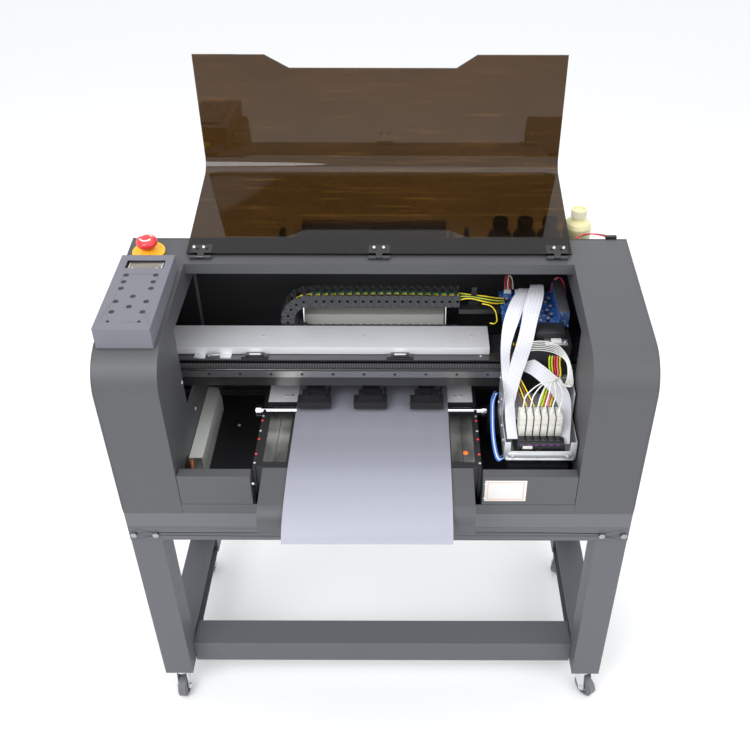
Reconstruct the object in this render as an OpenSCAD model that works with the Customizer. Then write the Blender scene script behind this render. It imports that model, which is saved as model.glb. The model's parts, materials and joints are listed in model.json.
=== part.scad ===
// Roll-fed UV film printer on a castered stand, with its tinted lid raised.
// X runs from left to right, Y from front to back and Z up. Places are given from the middle
// of the machine, the front face of the side covers and the floor. at_origin() then moves the
// whole model so that its origin lies on the floor under the middle of its box.

/* [Stand] */
// Width over the legs and the grey side covers
body_w = 960; // [940:10:980]
// Depth of the stand and of the body
body_d = 418; // [414:1:430]
// Height of the stand's top above the floor
stand_h = 560; // [540:1:600]
// Width of a leg, seen from the front
leg_w = 60; // [56:1:64]
// Depth of a leg, seen from the side
leg_d = 62; // [58:1:66]
// Height of the leg's foot above the floor
leg_lift = 86; // [86:1:92]
// Height of a cross beam's web
beam_web = 37; // [34:1:40]

/* [Casters] */
// Diameter of a caster wheel
caster_d = 50; // [46:1:52]
// Width of a caster wheel
tread_w = 19; // [17:1:20]
// Distance of the axle from the swivel
trail = 16; // [14:1:20]

/* [Covers] */
// Width of each side cover
side_w = 112; // [110:1:116]
// Thickness of the sheet metal
sheet = 2; // [1.5:0.5:2]
// Slope of the top, in degrees, rising to the back
top_slope = 5.4; // [4.5:0.1:6]
// Radius of the bend from the front to the top
bend_r = 70; // [60:1:80]
// Height of the body's top at its rear edge
top_h = 977; // [970:1:985]
// Height of the lips in front of the two bays
lip_h = 693; // [691:1:696]

/* [Lid] */
// Thickness of the acrylic
acrylic = 3; // [2:0.5:4]
// Length of the panel next to the hinges
lid_top = 279; // [270:1:282]
// Length of the panel that hangs in front
lid_front = 236; // [230:1:240]
// Angle of the raised top panel above level, in degrees
lid_lean = 11; // [8:1:14]
// Angle between the two panels' directions, in degrees
lid_fold = 78; // [75:1:82]
// Radius of the fold
fold_r = 34; // [25:1:40]

/* [Film] */
// Width of the film
film_w = 301; // [290:1:310]
// Outer diameter of the supply roll
roll_d = 92; // [84:1:100]

/* [Hidden] */

$fn = 48;
half_w = body_w / 2;
inner_x = half_w - side_w;
rise = tan(top_slope);
top_rear_y = 370;
base_top = 597;
rear_knee_z = 905;
bolt_hole_r = 3.4;
rear_hole_x = 200;
function top_z(y) = top_h - (top_rear_y - y) * rise;

// Lid hinge line, and the fold and free edge of the raised lid
hinge_y = 302;
hinge_z = 975;
hinge_x = [-338, 0, 338];
lid_w = 732;
front_lean = lid_lean + lid_fold;
fold_y = hinge_y + lid_top * cos(lid_lean);
fold_z = hinge_z + lid_top * sin(lid_lean);
edge_y = fold_y + lid_front * cos(front_lean);

// The box runs from the film's free edge to the raised lid
film_tip_y = -124;
back_y = edge_y + acrylic / 2 * sin(front_lean);
centre_y = (film_tip_y + back_y) / 2;

// Platen module
platen_x0 = -232;
platen_x1 = 192;
platen_z = 691;
film_x = -15.5;
feed_y = 197;
feed_r = 8;
pinch_r = 9;
pinch_z = platen_z + 2 + pinch_r;
pinch_x = [-129.5, -18.5, 92.5];
lift_y = 262;
lift_z = 716;

// Gantry
rail_z0 = 766;
rail_z1 = 781;
beam_y0 = 210;
beam_y1 = 296;
belt_z0 = 787;
belt_h = 11;
belt_y = 213;
pulley_x = 442;
strip_pitch = 11;
rail_pitch = 60;
pulley_r = 9.2;
belt_gap = 0.3;
belt_t = 1.4;

// Carriage, parked at the right-hand end
car_x0 = 232;
car_x1 = 365;
car_y0 = 39;
car_y1 = 183;
car_z0 = 700;
board_z = 858;

// Cable chain
chain_y0 = 301;
chain_y1 = 339;
chain_top = 889;
chain_h = 27;
chain_r = 60;
chain_x0 = -137;
chain_pitch = 15.4;
chain_links = 19;
chain_end_x = chain_x0 + chain_pitch * chain_links;

// Keypad
pad_x = -425;
pad_w = 98;
pad_y0 = 47;
pad_y1 = 270;
pad_z = 987;
pad_slope = 2.85;
key_r = 4.2;
key_rows = [205, 184, 164, 125, 95];
key_middle = [140, 110];
key_x = 26.5;
key_places = concat(
    [for (y = key_rows, s = [-1, 1]) [pad_x + s * key_x, y]],
    [for (y = key_middle) [pad_x, y]]
);
estop_x = -440;
estop_y = 322;
estop_travel = 4;

// Film supply behind the body
roll_y = 502;
roll_z = 893;
shaft_r = 10;

swivels = [[-1, 0], [1, 0], [-1, 1], [1, 1]];
fork_turn = [180, 215, 175, 150];

// ---- helpers -------------------------------------------------------------------------------

module at_origin() translate([0, -centre_y, 0]) children();

// Box between two corners
module block(x0, x1, y0, y1, z0, z1)
    translate([x0, y0, z0]) cube([x1 - x0, y1 - y0, z1 - z0]);

// Rod along X
module rod_x(r, x0, x1, y, z)
    translate([x0, y, z]) rotate([0, 90, 0]) cylinder(r = r, h = x1 - x0);

// Upright rod
module rod_z(r, x, y, z0, z1) translate([x, y, z0]) cylinder(r = r, h = z1 - z0);

// Extrudes an outline drawn in Y and Z along X
module along_x(x0, x1) translate([x0, 0, 0]) rotate([90, 0, 90]) linear_extrude(x1 - x0) children();

module mirrored() {
    children();
    mirror([1, 0, 0]) children();
}

// Sits a piece on the sloping top of a side cover
module on_top(x, y) translate([x, y, top_z(y)]) rotate([top_slope, 0, 0]) children();

// Puts a piece on the keypad's face
module on_keypad(x, y)
    translate([x, y, pad_z + (y - pad_y0) * tan(pad_slope)]) rotate([pad_slope, 0, 0]) children();

// Puts a piece in the raised lid's own frame: u along the top panel, v out of it
module on_lid(x) translate([x, hinge_y, hinge_z]) rotate([lid_lean, 0, 0]) children();

// Side view of the covers, drawn in from the outside by g, with a round front bend
module cover_outline(g) {
    zf = top_z(g) - g;
    difference() {
        polygon([
            [g, base_top], [g, zf], [top_rear_y - g / 2, top_h - g], [body_d - g, rear_knee_z - g / 2],
            [body_d - g, base_top]
        ]);
        r = bend_r - g;
        run = r * tan(45 - top_slope / 2);
        difference() {
            polygon([
                [g - 1, zf - run], [g - 1, zf + 30], [g + run * cos(top_slope), zf + 30],
                [g + run * cos(top_slope), zf + run * sin(top_slope)], [g + r, zf - run]
            ]);
            translate([g + r, zf - run]) circle(r = r, $fn = 96);
        }
    }
}

// ---- stand ---------------------------------------------------------------------------------

module leg(y0, hole_y) {
    difference() {
        block(-half_w, -half_w + leg_w, y0, y0 + leg_d - 3, leg_lift, stand_h);
        block(-half_w + 2, -half_w + leg_w - 2, y0 + 2, y0 + leg_d - 5, leg_lift + 4, stand_h + 1);
        rod_z(5.3, -half_w + leg_w / 2, hole_y, leg_lift - 1, leg_lift + 5);
        for (dx = [-20, 22])
            translate([-half_w + leg_w / 2 + dx, body_d / 2, stand_h - 20]) rotate([90, 0, 0])
                cylinder(r = bolt_hole_r, h = body_d + 2, center = true);
    }
}

module side_frame() {
    leg(3, leg_d / 2);
    leg(body_d - leg_d, body_d - leg_d / 2);
    block(-half_w, -half_w + 40, leg_d, body_d - leg_d, stand_h - beam_web, stand_h - 2);
    difference() {
        block(-half_w, -half_w + leg_w, leg_d, body_d - leg_d, leg_lift + 10, leg_lift + 62);
        block(-half_w + 3, -half_w + leg_w + 1, leg_d - 1, body_d - leg_d + 1,
              leg_lift + 13, leg_lift + 59);
    }
}

module stand_left_frame() color("#4a4c50") side_frame();

module stand_right_frame() color("#4a4c50") mirror([1, 0, 0]) side_frame();

// Channel open to the back: the web covers the legs, the flanges run between them
module cross_beam() {
    difference() {
        block(-half_w, half_w, 0, 3, stand_h - beam_web, stand_h);
        for (x = [-half_w + leg_w / 2 - 20, -half_w + leg_w / 2 + 22])
            mirrored() translate([x, -1, stand_h - 20]) rotate([-90, 0, 0]) cylinder(r = bolt_hole_r, h = 5);
    }
    for (z = [stand_h - beam_web, stand_h - 3])
        block(-half_w + leg_w, half_w - leg_w, 3, 40, z, z + 3);
}

module stand_beams() color("#4a4c50") {
    cross_beam();
    difference() {
        translate([0, body_d, 0]) mirror([0, 1, 0]) cross_beam();
        for (s = [-1, 1]) translate([s * rear_hole_x, body_d - 4, stand_h - beam_web / 2]) rotate([-90, 0, 0])
            cylinder(r = bolt_hole_r, h = 5);
    }
    difference() {
        block(-half_w + leg_w, half_w - leg_w, 44, 106, 76, 138);
        block(-half_w + leg_w - 1, half_w - leg_w + 1, 47, 103, 70, 135);
    }
    mirrored() difference() {
        block(-half_w + leg_w, -half_w + leg_w + 3, 47, 103, 76, 135);
        for (y = [54, 96]) rod_x(bolt_hole_r, -half_w + leg_w - 1, -half_w + leg_w + 4, y, 106);
    }
}

module hex_bolt(length) {
    cylinder(r = 6.5, h = 5, $fn = 6);
    translate([0, 0, -length]) cylinder(r = 3, h = length + 1);
}

module stand_bolts() color("silver") mirrored() {
    for (x = [-half_w + leg_w / 2 - 20, -half_w + leg_w / 2 + 22]) {
        translate([x, 0, stand_h - 20]) rotate([90, 0, 0]) hex_bolt(12);
        translate([x, body_d, stand_h - 20]) rotate([-90, 0, 0]) hex_bolt(12);
    }
    for (y = [54, 96])
        translate([-half_w + leg_w + 3, y, 106]) rotate([0, 90, 0]) hex_bolt(2.5);
}

// ---- casters -------------------------------------------------------------------------------

module at_swivel(i)
    translate([swivels[i][0] * (half_w - leg_w / 2), leg_d / 2 + swivels[i][1] * (body_d - leg_d), 0])
        children();

module caster_stems() color("silver") for (i = [0:3]) at_swivel(i) {
    rod_z(5, 0, 0, 58, leg_lift + 14);
    rod_z(8, 0, 0, 58, 66.5);
    rod_z(22, 0, 0, 76.5, leg_lift);
    translate([0, 0, leg_lift + 4]) cylinder(r = 9, h = 7, $fn = 6);
}

// Cheek of the fork: a plate that narrows from the crown to the axle
module fork_cheek(y) translate([0, y, 0]) rotate([90, 0, 0]) linear_extrude(2.5, center = true) {
    polygon([[-17, 76], [17, 76], [trail + 7, caster_d / 2 + 6], [trail + 7, caster_d / 2 - 3],
             [trail - 7, caster_d / 2 - 6], [-17, 64]]);
    translate([trail, caster_d / 2]) circle(r = 8);
}

module caster_fork(i) color("gainsboro") at_swivel(i) rotate([0, 0, fork_turn[i] + 90]) {
    cheek_y = tread_w / 2 + 2.5;
    difference() {
        union() {
            rod_z(20, 0, 0, 70, 76);
            fork_cheek(cheek_y);
            fork_cheek(-cheek_y);
        }
        rod_z(5.05, 0, 0, 60, 80);
        rod_z(9.5, 0, 0, 50, 70);
    }
    translate([trail, 0, caster_d / 2]) rotate([90, 0, 0]) {
        cylinder(r = 3, h = 2 * cheek_y + 8, center = true);
        for (s = [-1, 1]) translate([0, 0, s * (cheek_y + 3)])
            cylinder(r = 5.5, h = 3.6, center = true, $fn = 6);
    }
}

module caster_wheel(i) color("dimgray") at_swivel(i) rotate([0, 0, fork_turn[i] + 90])
    translate([trail, 0, caster_d / 2]) rotate([90, 0, 0]) difference() {
        union() {
            cylinder(r = caster_d / 2, h = tread_w - 4, center = true, $fn = 96);
            cylinder(r = caster_d / 2 - 2.5, h = tread_w, center = true, $fn = 96);
            cylinder(r = 7, h = tread_w + 1.6, center = true);
        }
        cylinder(r = 3.05, h = tread_w + 4, center = true);
        for (s = [-1, 1]) translate([0, 0, s * (tread_w / 2 - 1)]) difference() {
            cylinder(r = 17, h = 4, center = true);
            cylinder(r = 7, h = 5, center = true);
        }
    }

module caster_fork_fl() caster_fork(0);
module caster_fork_fr() caster_fork(1);
module caster_fork_rl() caster_fork(2);
module caster_fork_rr() caster_fork(3);
module caster_wheel_fl() caster_wheel(0);
module caster_wheel_fr() caster_wheel(1);
module caster_wheel_rl() caster_wheel(2);
module caster_wheel_rr() caster_wheel(3);

// ---- body ----------------------------------------------------------------------------------

module base_tray() color("#4b4d50") difference() {
    block(-half_w, half_w, 0, body_d, stand_h, base_top);
    block(-half_w + sheet, half_w - sheet, sheet, body_d - sheet, stand_h + sheet, base_top + 1);
}

// Black floor inside the body, with the socket that guides the cap station
module floor_pan() color("#151618") {
    block(-inner_x + 0.5, inner_x - 0.5, sheet, body_d - sheet, 588, 590);
    difference() {
        block(272, 328, 76, 114, 590, 630);
        block(279, 321, 83, 107, 589, 631);
    }
}

module lip(x0, x1) {
    block(x0, x1, 0, sheet, 622, lip_h);
    block(x0, x1, 0, 20, lip_h - sheet, lip_h);
    for (x = [x0, x1 - sheet]) block(x, x + sheet, 0, 20, 622, lip_h);
}

module front_panels() color("#4b4d50") {
    block(-inner_x, inner_x, 0, sheet, base_top, 621);
    lip(-inner_x + 1, platen_x0 - 1);
    lip(platen_x1 + 1, inner_x - 1);
}

// Side cover: front and top in one bent sheet, and the wall beside the bay
module side_cover(gantry_y1) {
    difference() {
        along_x(-half_w, -inner_x) cover_outline(0);
        along_x(-half_w - 1, -inner_x - sheet) cover_outline(sheet);
        block(-half_w - 1, -inner_x - sheet, sheet, body_d + 1, base_top - 1, base_top + 3);
        block(-half_w - 1, -inner_x + 1, top_rear_y - 4, body_d + 1, base_top - 1, top_h + 1);
        block(-inner_x - 3, -inner_x + 1, 150, gantry_y1, 736, 912);
    }
}

module left_cover() color("#4b4d50") side_cover(352);

module right_cover() color("#4b4d50") mirror([1, 0, 0]) side_cover(368);

module end_covers() color("whitesmoke") mirrored() difference() {
    along_x(-half_w - 8, -half_w) cover_outline(-3);
    block(-half_w - 9, -half_w + 1, -10, body_d + 10, base_top - 1, 606);
    along_x(-half_w - 5, -half_w + 1) intersection() {
        cover_outline(5);
        translate([0, 612]) square([body_d, 400]);
    }
}

// Back panel with the sloping shoulder, a slot for the film and a shelf for the ink
module rear_cover() color("#3c3e41") {
    difference() {
        along_x(-half_w, half_w) difference() {
            cover_outline(0);
            cover_outline(sheet);
            translate([-10, 500]) square([top_rear_y + 6, 600]);
            translate([-10, 500]) square([body_d + 20, base_top - 498]);
        }
        block(film_x - 170, film_x + 170, body_d - 5, body_d + 5, 700, 800);
        block(-362, -338, body_d - 5, body_d + 5, 622, 658);
        block(-409.8, -390.2, body_d - 5, body_d + 5, 624, 656);
    }
    difference() {
        block(214, 434, body_d, 486, 852, 876);
        block(216, 432, body_d + sheet, 484, 854, 877);
    }
}

module top_bridge() color("#4b4d50") along_x(-inner_x, inner_x) polygon([
    [286, top_z(286) - 21], [286, top_z(286)], [top_rear_y - 5, top_z(top_rear_y - 5)],
    [top_rear_y - 5, top_z(top_rear_y - 5) - sheet], [286 + sheet, top_z(286) - sheet],
    [286 + sheet, top_z(286) - 21]
]);

// ---- platen and film drive -----------------------------------------------------------------

module platen_table() color("#17181a") {
    difference() {
        union() {
            block(platen_x0 + 6, platen_x1 - 6, 28, 186, platen_z - 8, platen_z);
            block(platen_x0 + 6, platen_x1 - 6, 28, 34, 600, platen_z);
            block(platen_x0 + 6, platen_x1 - 6, 210, 300, platen_z - 12, platen_z - 4);
            for (x = [platen_x0, platen_x1 - 6]) block(x, x + 6, 22, 330, 590, platen_z);
        }
        rod_x(feed_r + 0.6, platen_x0 - 1, platen_x1 + 1, feed_y, platen_z - feed_r + 0.5);
        for (x = [platen_x0 + 60:20:platen_x1 - 60], y = [50:24:170]) rod_z(1.5, x, y, 680, 692);
    }
}

module platen_plates() color("lightgray") {
    for (x = [platen_x0 + 18, platen_x1 - 55]) {
        block(x, x + 21, 41, 179, platen_z, platen_z + 1);
        block(x + 22, x + 43, 41, 179, platen_z, platen_z + 0.5);
    }
    block(platen_x0 + 7, platen_x1 - 7, 221, 296, platen_z - 4, platen_z - 2);
}

// Guide sheet in front of the platen: a gentle slope, a round nose and a short flange
module apron() color("#3f4146") along_x(-213, 176) {
    polygon([[28, 689], [-54, 680], [-54, 678.5], [28, 687.5]]);
    translate([26.5, 660]) square([1.5, 28]);
    intersection() {
        translate([-54, 650]) difference() {
            circle(r = 30, $fn = 96);
            circle(r = 28.5, $fn = 96);
        }
        translate([-84, 650]) square([30, 30]);
    }
    translate([-84, 632]) square([1.5, 18]);
}

module feed_roller() color("silver") {
    rod_x(feed_r, platen_x0 - 10, platen_x1 + 20, feed_y, platen_z - feed_r + 0.5);
    rod_x(feed_r + 4, platen_x0 - 14, platen_x0 - 4, feed_y, platen_z - feed_r + 0.5);
    rod_x(feed_r + 3, platen_x1 + 10, platen_x1 + 18, feed_y, platen_z - feed_r + 0.5);
}

// Two stepper motors: one drives the film, the other the carriage belt
module motors() color("#2a2b2e") {
    block(platen_x1 + 22, platen_x1 + 62, 176, 218, 640, 682);
    rod_x(2.5, platen_x1 + 62, platen_x1 + 70, feed_y, 661);
    block(-pulley_x - 21, -pulley_x + 21, belt_y - 21, belt_y + 21, 738, 780);
    rod_z(2.5, -pulley_x, belt_y, 780, belt_z0 + belt_h + 3);
}

module pinch_arms() color("#1b1c1f") {
    rod_x(4, -190, 160, lift_y, lift_z);
    for (x = pinch_x) {
        difference() {
            union() {
                block(x - 33, x + 33, feed_y - 13, feed_y + 13, pinch_z - 2, pinch_z + 13);
                block(x - 17, x + 17, feed_y + 13, lift_y + 4, pinch_z + 4, lift_z + 6);
                block(x - 24, x + 24, feed_y + 2, feed_y + 24, pinch_z + 9, pinch_z + 19);
            }
            block(x - 30, x + 30, feed_y - 10.5, feed_y + 10.5, pinch_z - 3, pinch_z + 10);
            rod_x(2.05, x - 34, x + 34, feed_y, pinch_z);
            block(x - 12, x + 12, feed_y + 6, feed_y + 18, pinch_z + 12, pinch_z + 20);
        }
        block(x + 26, x + 31, feed_y + 14, feed_y + 34, pinch_z + 6, pinch_z + 16);
    }
}

module pinch_rollers() color("#26272a") for (x = pinch_x) {
    rod_x(pinch_r, x - 29.4, x + 29.4, feed_y, pinch_z);
    rod_x(2, x - 34, x + 34, feed_y, pinch_z);
}

// Film from the supply roll, through the body, over the platen and off the apron
film_path = [
    [roll_y - roll_d / 2 - 2, roll_z], [448, 820], [426, 772], [400, 736], [350, 703], [296, 692.45],
    [28, 692.45], [-20, 688.2], [-54, 683.7], [-90, 674], [-112, 662], [film_tip_y + 0.2, 650]
];
module film() color("#aab0bc") along_x(film_x - film_w / 2, film_x + film_w / 2)
    polygon(band(film_path, 0.5));

// ---- gantry --------------------------------------------------------------------------------

module gantry_beam() color("#141416") {
    difference() {
        block(-half_w + 22, half_w - 22, beam_y0, beam_y1, 738, 784);
        block(-half_w + 21, half_w - 21, beam_y0 + 6, beam_y1 - 6, 744, 778);
        block(-pulley_x - 22, -pulley_x + 22, beam_y0 - 1, belt_y + 22, 737, 785);
    }
    block(-half_w + 44, half_w - 44, 230, beam_y1, 784, 801);
    block(-half_w + 44, half_w - 44, 207, 231, 801, 803.5);
    rod_z(2.5, pulley_x, belt_y, 783, belt_z0 + belt_h + 3);
}

module beam_cover() color("#b9bbbf") {
    difference() {
        block(-410, 213, 224, beam_y1 + 2, 804, 820);
        block(-411, 214, 226, beam_y1, 803, 818);
    }
    for (x = [-300, -60, 180]) block(x, x + 8, 240, 280, 801, 804);
}

// End plates that carry the beam, the chain's tray and the drilled strip over the left bay
module beam_brackets() color("#1d1e21") {
    mirrored() {
        difference() {
            block(-half_w + 14, -half_w + 20, 170, 340, stand_h + sheet, 830);
            block(-half_w + 13, -half_w + 21, belt_y - 24, belt_y + 24, 736, 812);
            block(-half_w + 13, -half_w + 21, 296, 341, 764, 831);
        }
    }
    block(-455, 240, 297, 343, 760, 763);
    block(-455, 240, 341.5, 343, 763, 772);
    block(-130, 100, 343, 376, 767, 770);
    difference() {
        block(-340, -247, 299, 301, 640, 656);
        for (x = [-328:strip_pitch:-250])
            translate([x, 298, 648]) rotate([-90, 0, 0]) cylinder(r = 2.2, h = 4);
    }
    block(-246, -238, 296, 304, 590, 760);
    block(-340, -334, 296, 304, 656, 760);
}

module linear_rail() color("silver") difference() {
    block(-420, 420, 200, beam_y0, rail_z0, rail_z1);
    for (z = [rail_z0, rail_z1]) block(-421, 421, 203.5, 206.5, z - 1.2, z + 1.2);
    for (x = [-390:rail_pitch:390]) translate([x, 199, (rail_z0 + rail_z1) / 2]) rotate([-90, 0, 0])
        cylinder(r = 3, h = 4);
}

module belt_loop(r) {
    circle_r = pulley_r + r;
    for (s = [-1, 1]) translate([s * pulley_x, belt_y]) circle(r = circle_r);
    translate([-pulley_x, belt_y - circle_r]) square([2 * pulley_x, 2 * circle_r]);
}

module drive_belt() color("#202124") translate([0, 0, belt_z0]) linear_extrude(belt_h) difference() {
    belt_loop(belt_gap + belt_t);
    belt_loop(belt_gap);
}

module pulley() difference() {
    union() {
        rod_z(pulley_r, 0, 0, belt_z0 - 1, belt_z0 + belt_h + 1);
        for (z = [belt_z0 - 2.2, belt_z0 + belt_h + 0.6]) rod_z(pulley_r + 2.6, 0, 0, z, z + 1.6);
    }
    rod_z(2.55, 0, 0, belt_z0 - 5, belt_z0 + belt_h + 5);
}

module drive_pulley() color("silver") translate([-pulley_x, belt_y, 0]) pulley();

module idler_pulley() color("silver") translate([pulley_x, belt_y, 0]) pulley();

// ---- carriage ------------------------------------------------------------------------------

// Plate on the rail, arm over the beam, tray under the head board and ledge for the chain
module carriage_frame() color("#1a1b1d") {
    block(car_x0 + 4, car_x1 - 4, car_y1, 187, 730, 852);
    block(318, 352, 187, 201, 822, 848);
    block(348, 361, 187, 201.6, belt_z0, belt_z0 + belt_h);
    block(car_x0 + 6, car_x1 - 2, 187, 362, 848, 852);
    for (x = [car_x0 + 10, car_x1 - 10], y = [250, 350]) rod_z(3, x, y, 852, board_z - 2);
    block(chain_end_x, car_x0 + 10, 300, 342, 848, 852);
    block(chain_end_x, car_x0 + 4, 300, 342, 852, 858);
    block(180, 190, 318, 326, 858, 898);
    block(174, 196, 316, 328, 858, 866);
}

module bearing_block() color("gainsboro") difference() {
    block(262, 338, 187, 207, 757, 785.5);
    block(261, 339, 199.5, 208, rail_z0 - 0.5, rail_z1 + 0.5);
    for (x = [272, 328], z = [761, 784]) rod_x(0.8, x - 4, x + 4, 187, z);
}

// Open-topped box with slots in its floor for the print heads
module carriage_box() color("silver") {
    difference() {
        block(car_x0, car_x1, car_y0, car_y1, car_z0, 742);
        block(car_x0 + sheet, car_x1 - sheet, car_y0 + sheet, car_y1 - sheet, car_z0 + sheet, 743);
        for (x = [254, 306]) block(x, x + 40, 56, 132, car_z0 - 1, car_z0 + 3);
        block(car_x0 + 12, car_x1 - 12, car_y0 - 1, car_y0 + 3, 720, 743);
    }
    block(car_x0, car_x0 + sheet, 110, car_y1, 742, 800);
    block(car_x1 - sheet, car_x1, 110, car_y1, 742, 800);
    for (x = [car_x0 + 6, car_x1 - 34]) block(x, x + 28, car_y1 - 12, car_y1 - sheet, 742, 790);
}

module print_heads() color("#2b2c30") for (x = [255, 307]) {
    block(x, x + 38, 57, 131, 698, 718);
    block(x - 2, x + 40, 50, 138, 702.2, 714);
    block(x + 8, x + 30, 66, 122, 718, 736);
}

module dampers() color("white") for (i = [0:5]) {
    x = 259 + i * 13.4;
    difference() {
        block(x, x + 11, 62, 92, 738, 782);
        block(x - 1, x + 2, 66, 88, 744, 776);
    }
    rod_z(2.6, x + 6, 78, 782, 792);
    block(x + 3, x + 8, 68, 84, 736, 738);
}

module head_board() color("#1d4f86") {
    block(car_x0 + 6, car_x1 - 1, 244, 366, board_z - 2, board_z);
    color("#303236") block(344, 363, 247, 362, board_z, board_z + 28);
    color("#202225") for (x = [250, 285, 318]) block(x, x + 20, 300, 318, board_z, board_z + 3);
    color("ivory") for (x = [246, 268, 290, 312]) block(x, x + 16, 346, 354, board_z, board_z + 9);
}

// Outline of a thin band, t thick, along a path: each point is moved along the path's normal
function heading(path, i) = path[min(i + 1, len(path) - 1)] - path[max(i - 1, 0)];
function beside(path, i, d) =
    let (way = heading(path, i)) path[i] + d * [-way[1], way[0]] / norm(way);
function band(path, t) = concat(
    [for (i = [0:len(path) - 1]) beside(path, i, t / 2)],
    [for (i = [len(path) - 1:-1:0]) beside(path, i, -t / 2)]
);

// Flat ribbon, w wide, along points in Y and Z
module ribbon(x, w, points) along_x(x, x + w) polygon(band(points, 1.2));

// The ribbons leave the head board's rear connectors, arch over the beam and drop to the heads
long_route = [[350, 869], [334, 886], [305, 894], [270, 897], [236, 896], [208, 889], [186, 874],
              [171, 848], [159, 812], [120, 764], [84, 742], [52, 738]];
short_route = [[220, 890], [194, 876], [174, 834], [162, 784], [124, 748], [88, 726], [56, 722]];
module ribbon_cables() color("white") {
    ribbon(238, 19, long_route);
    ribbon(264, 24, [for (i = [0:9]) long_route[i] + [6, 10]]);
    ribbon(338, 17, short_route);
}

// ---- cable chain ---------------------------------------------------------------------------

// One link, hollow, seen along X: bottom at z0
module chain_link(x0, z0, length) difference() {
    block(x0, x0 + length, chain_y0, chain_y1, z0, z0 + chain_h);
    block(x0 - 1, x0 + length + 1, chain_y0 + 3, chain_y1 - 3, z0 + 3, z0 + chain_h - 3);
    block(x0 + 3, x0 + length - 3.5, chain_y0 + 8, chain_y1 - 8, z0 + chain_h - 4, z0 + chain_h + 1);
}

module chain_upper() color("#2c2d30") for (i = [0:chain_links - 1])
    chain_link(chain_x0 + i * chain_pitch + 0.2, chain_top - chain_h, chain_pitch - 0.4);

module chain_loop() color("#2c2d30") difference() {
    translate([chain_x0 - 0.2, chain_y0, chain_top - chain_r]) rotate([-90, 0, 0]) difference() {
        cylinder(r = chain_r, h = chain_y1 - chain_y0, $fn = 96);
        translate([0, 0, -1]) cylinder(r = chain_r - chain_h, h = 60, $fn = 96);
        translate([0, 0, 3]) difference() {
            cylinder(r = chain_r - 3, h = chain_y1 - chain_y0 - 6, $fn = 96);
            translate([0, 0, -1]) cylinder(r = chain_r - chain_h + 3, h = 60, $fn = 96);
        }
    }
    block(chain_x0 - 0.2, chain_x0 + 80, chain_y0 - 1, chain_y1 + 1, 760, 900);
}

module chain_lower() color("#2c2d30") for (i = [0:chain_links - 1])
    chain_link(chain_x0 + i * chain_pitch + 0.2, chain_top - 2 * chain_r, chain_pitch - 0.4);

// ---- service station, ducts ----------------------------------------------------------------

module cap_station() color("#1c1d20") {
    block(244, 356, 48, 142, 640, 676);
    block(280, 320, 84, 106, 602, 640);
    for (x = [255, 307]) difference() {
        block(x + 1, x + 37, 60, 128, 676, 696.5);
        block(x + 4, x + 34, 63, 125, 682, 697);
    }
    block(247, 251, 60, 128, 676, 694);
}

// Slotted duct in the left bay and the tray behind the beam
module wire_ducts() color("lightgray") {
    difference() {
        block(-367, -341, 96, 314, 590, 650);
        block(-365.5, -342.5, 95, 315, 592, 648.5);
        for (y = [104:10:304], x = [-368, -344]) block(x, x + 4, y, y + 4, 598, 642);
    }
    difference() {
        block(-155, 128, 350, 376, 770, 812);
        block(-156, 129, 352, 374, 772, 810);
    }
}

// ---- lid -----------------------------------------------------------------------------------

// Two flat panels joined by a round fold, in the raised lid's frame
module lid() color([0.35, 0.22, 0.06, 0.7]) {
    run = fold_r * tan(lid_fold / 2);
    difference() {
        on_lid(0) along_x(-lid_w / 2, lid_w / 2) {
            translate([9, -acrylic / 2]) square([lid_top - run - 9, acrylic]);
            translate([lid_top - run, fold_r]) difference() {
                circle(r = fold_r + acrylic / 2, $fn = 96);
                circle(r = fold_r - acrylic / 2, $fn = 96);
                translate([-100, -100]) square([100, 200]);
                rotate(lid_fold - 90) translate([-100, 0]) square([200, 100]);
            }
            translate([lid_top, 0]) rotate(lid_fold) translate([run, -acrylic / 2])
                square([lid_front - run, acrylic]);
        }
        on_lid(0) for (x = hinge_x, dx = [-9, 9]) translate([x + dx, 22, 0])
            cylinder(r = 1.7, h = 10, center = true);
        // the notch that clears the platen when the lid is down
        on_lid(0) translate([0, lid_top, 0]) rotate([lid_fold, 0, 0]) translate([0, 0, -10])
            linear_extrude(20) polygon([
                [-226, lid_front + 1], [-226, lid_front], [-179, lid_front - 26],
                [149, lid_front - 26], [189, lid_front], [189, lid_front + 1]
            ]);
    }
}

module hinge_leaves() color("#3a3b3e") for (x = hinge_x) translate([x, hinge_y, hinge_z]) {
    for (s = [-20, 6.4]) rod_x(3.6, s, s + 13.6, 0, 0);
    translate([-19, 1, -4.3]) rotate([top_slope, 0, 0]) difference() {
        cube([38, 24, 2]);
        translate([12.8, -1, -1]) cube([12.4, 6, 5]);
    }
    rod_x(2, -21.5, 21.5, 0, 0);
    for (dx = [-12, 12]) rod_z(2.4, dx, 16, -1.8, 0.5);
}

module hinge_straps() color("#3a3b3e") for (x = hinge_x) on_lid(x) {
    difference() {
        union() {
            rod_x(3.6, -6, 6, 0, 0);
            translate([-6, 0, 1.9]) cube([12, 10, 1.6]);
            translate([-20, 8.5, 1.6]) cube([40, 24, 1.6]);
        }
        rod_x(2.05, -21, 21, 0, 0);
        for (dx = [-9, 9]) translate([dx, 22, 0]) cylinder(r = 1.7, h = 8);
    }
    for (dx = [-9, 9]) translate([dx, 22, 0]) {
        translate([0, 0, -3.2]) cylinder(r = 1.6, h = 7);
        translate([0, 0, 3.2]) cylinder(r = 3, h = 1.6);
        translate([0, 0, -3.2]) cylinder(r = 3, h = 1.6);
    }
}

// ---- controls ------------------------------------------------------------------------------

module estop_collar() color("gold") on_top(estop_x, estop_y) difference() {
    union() {
        cylinder(r = 31, h = 5);
        cylinder(r = 14, h = 11);
    }
    translate([0, 0, -1]) cylinder(r = 7.05, h = 20);
}

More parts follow.
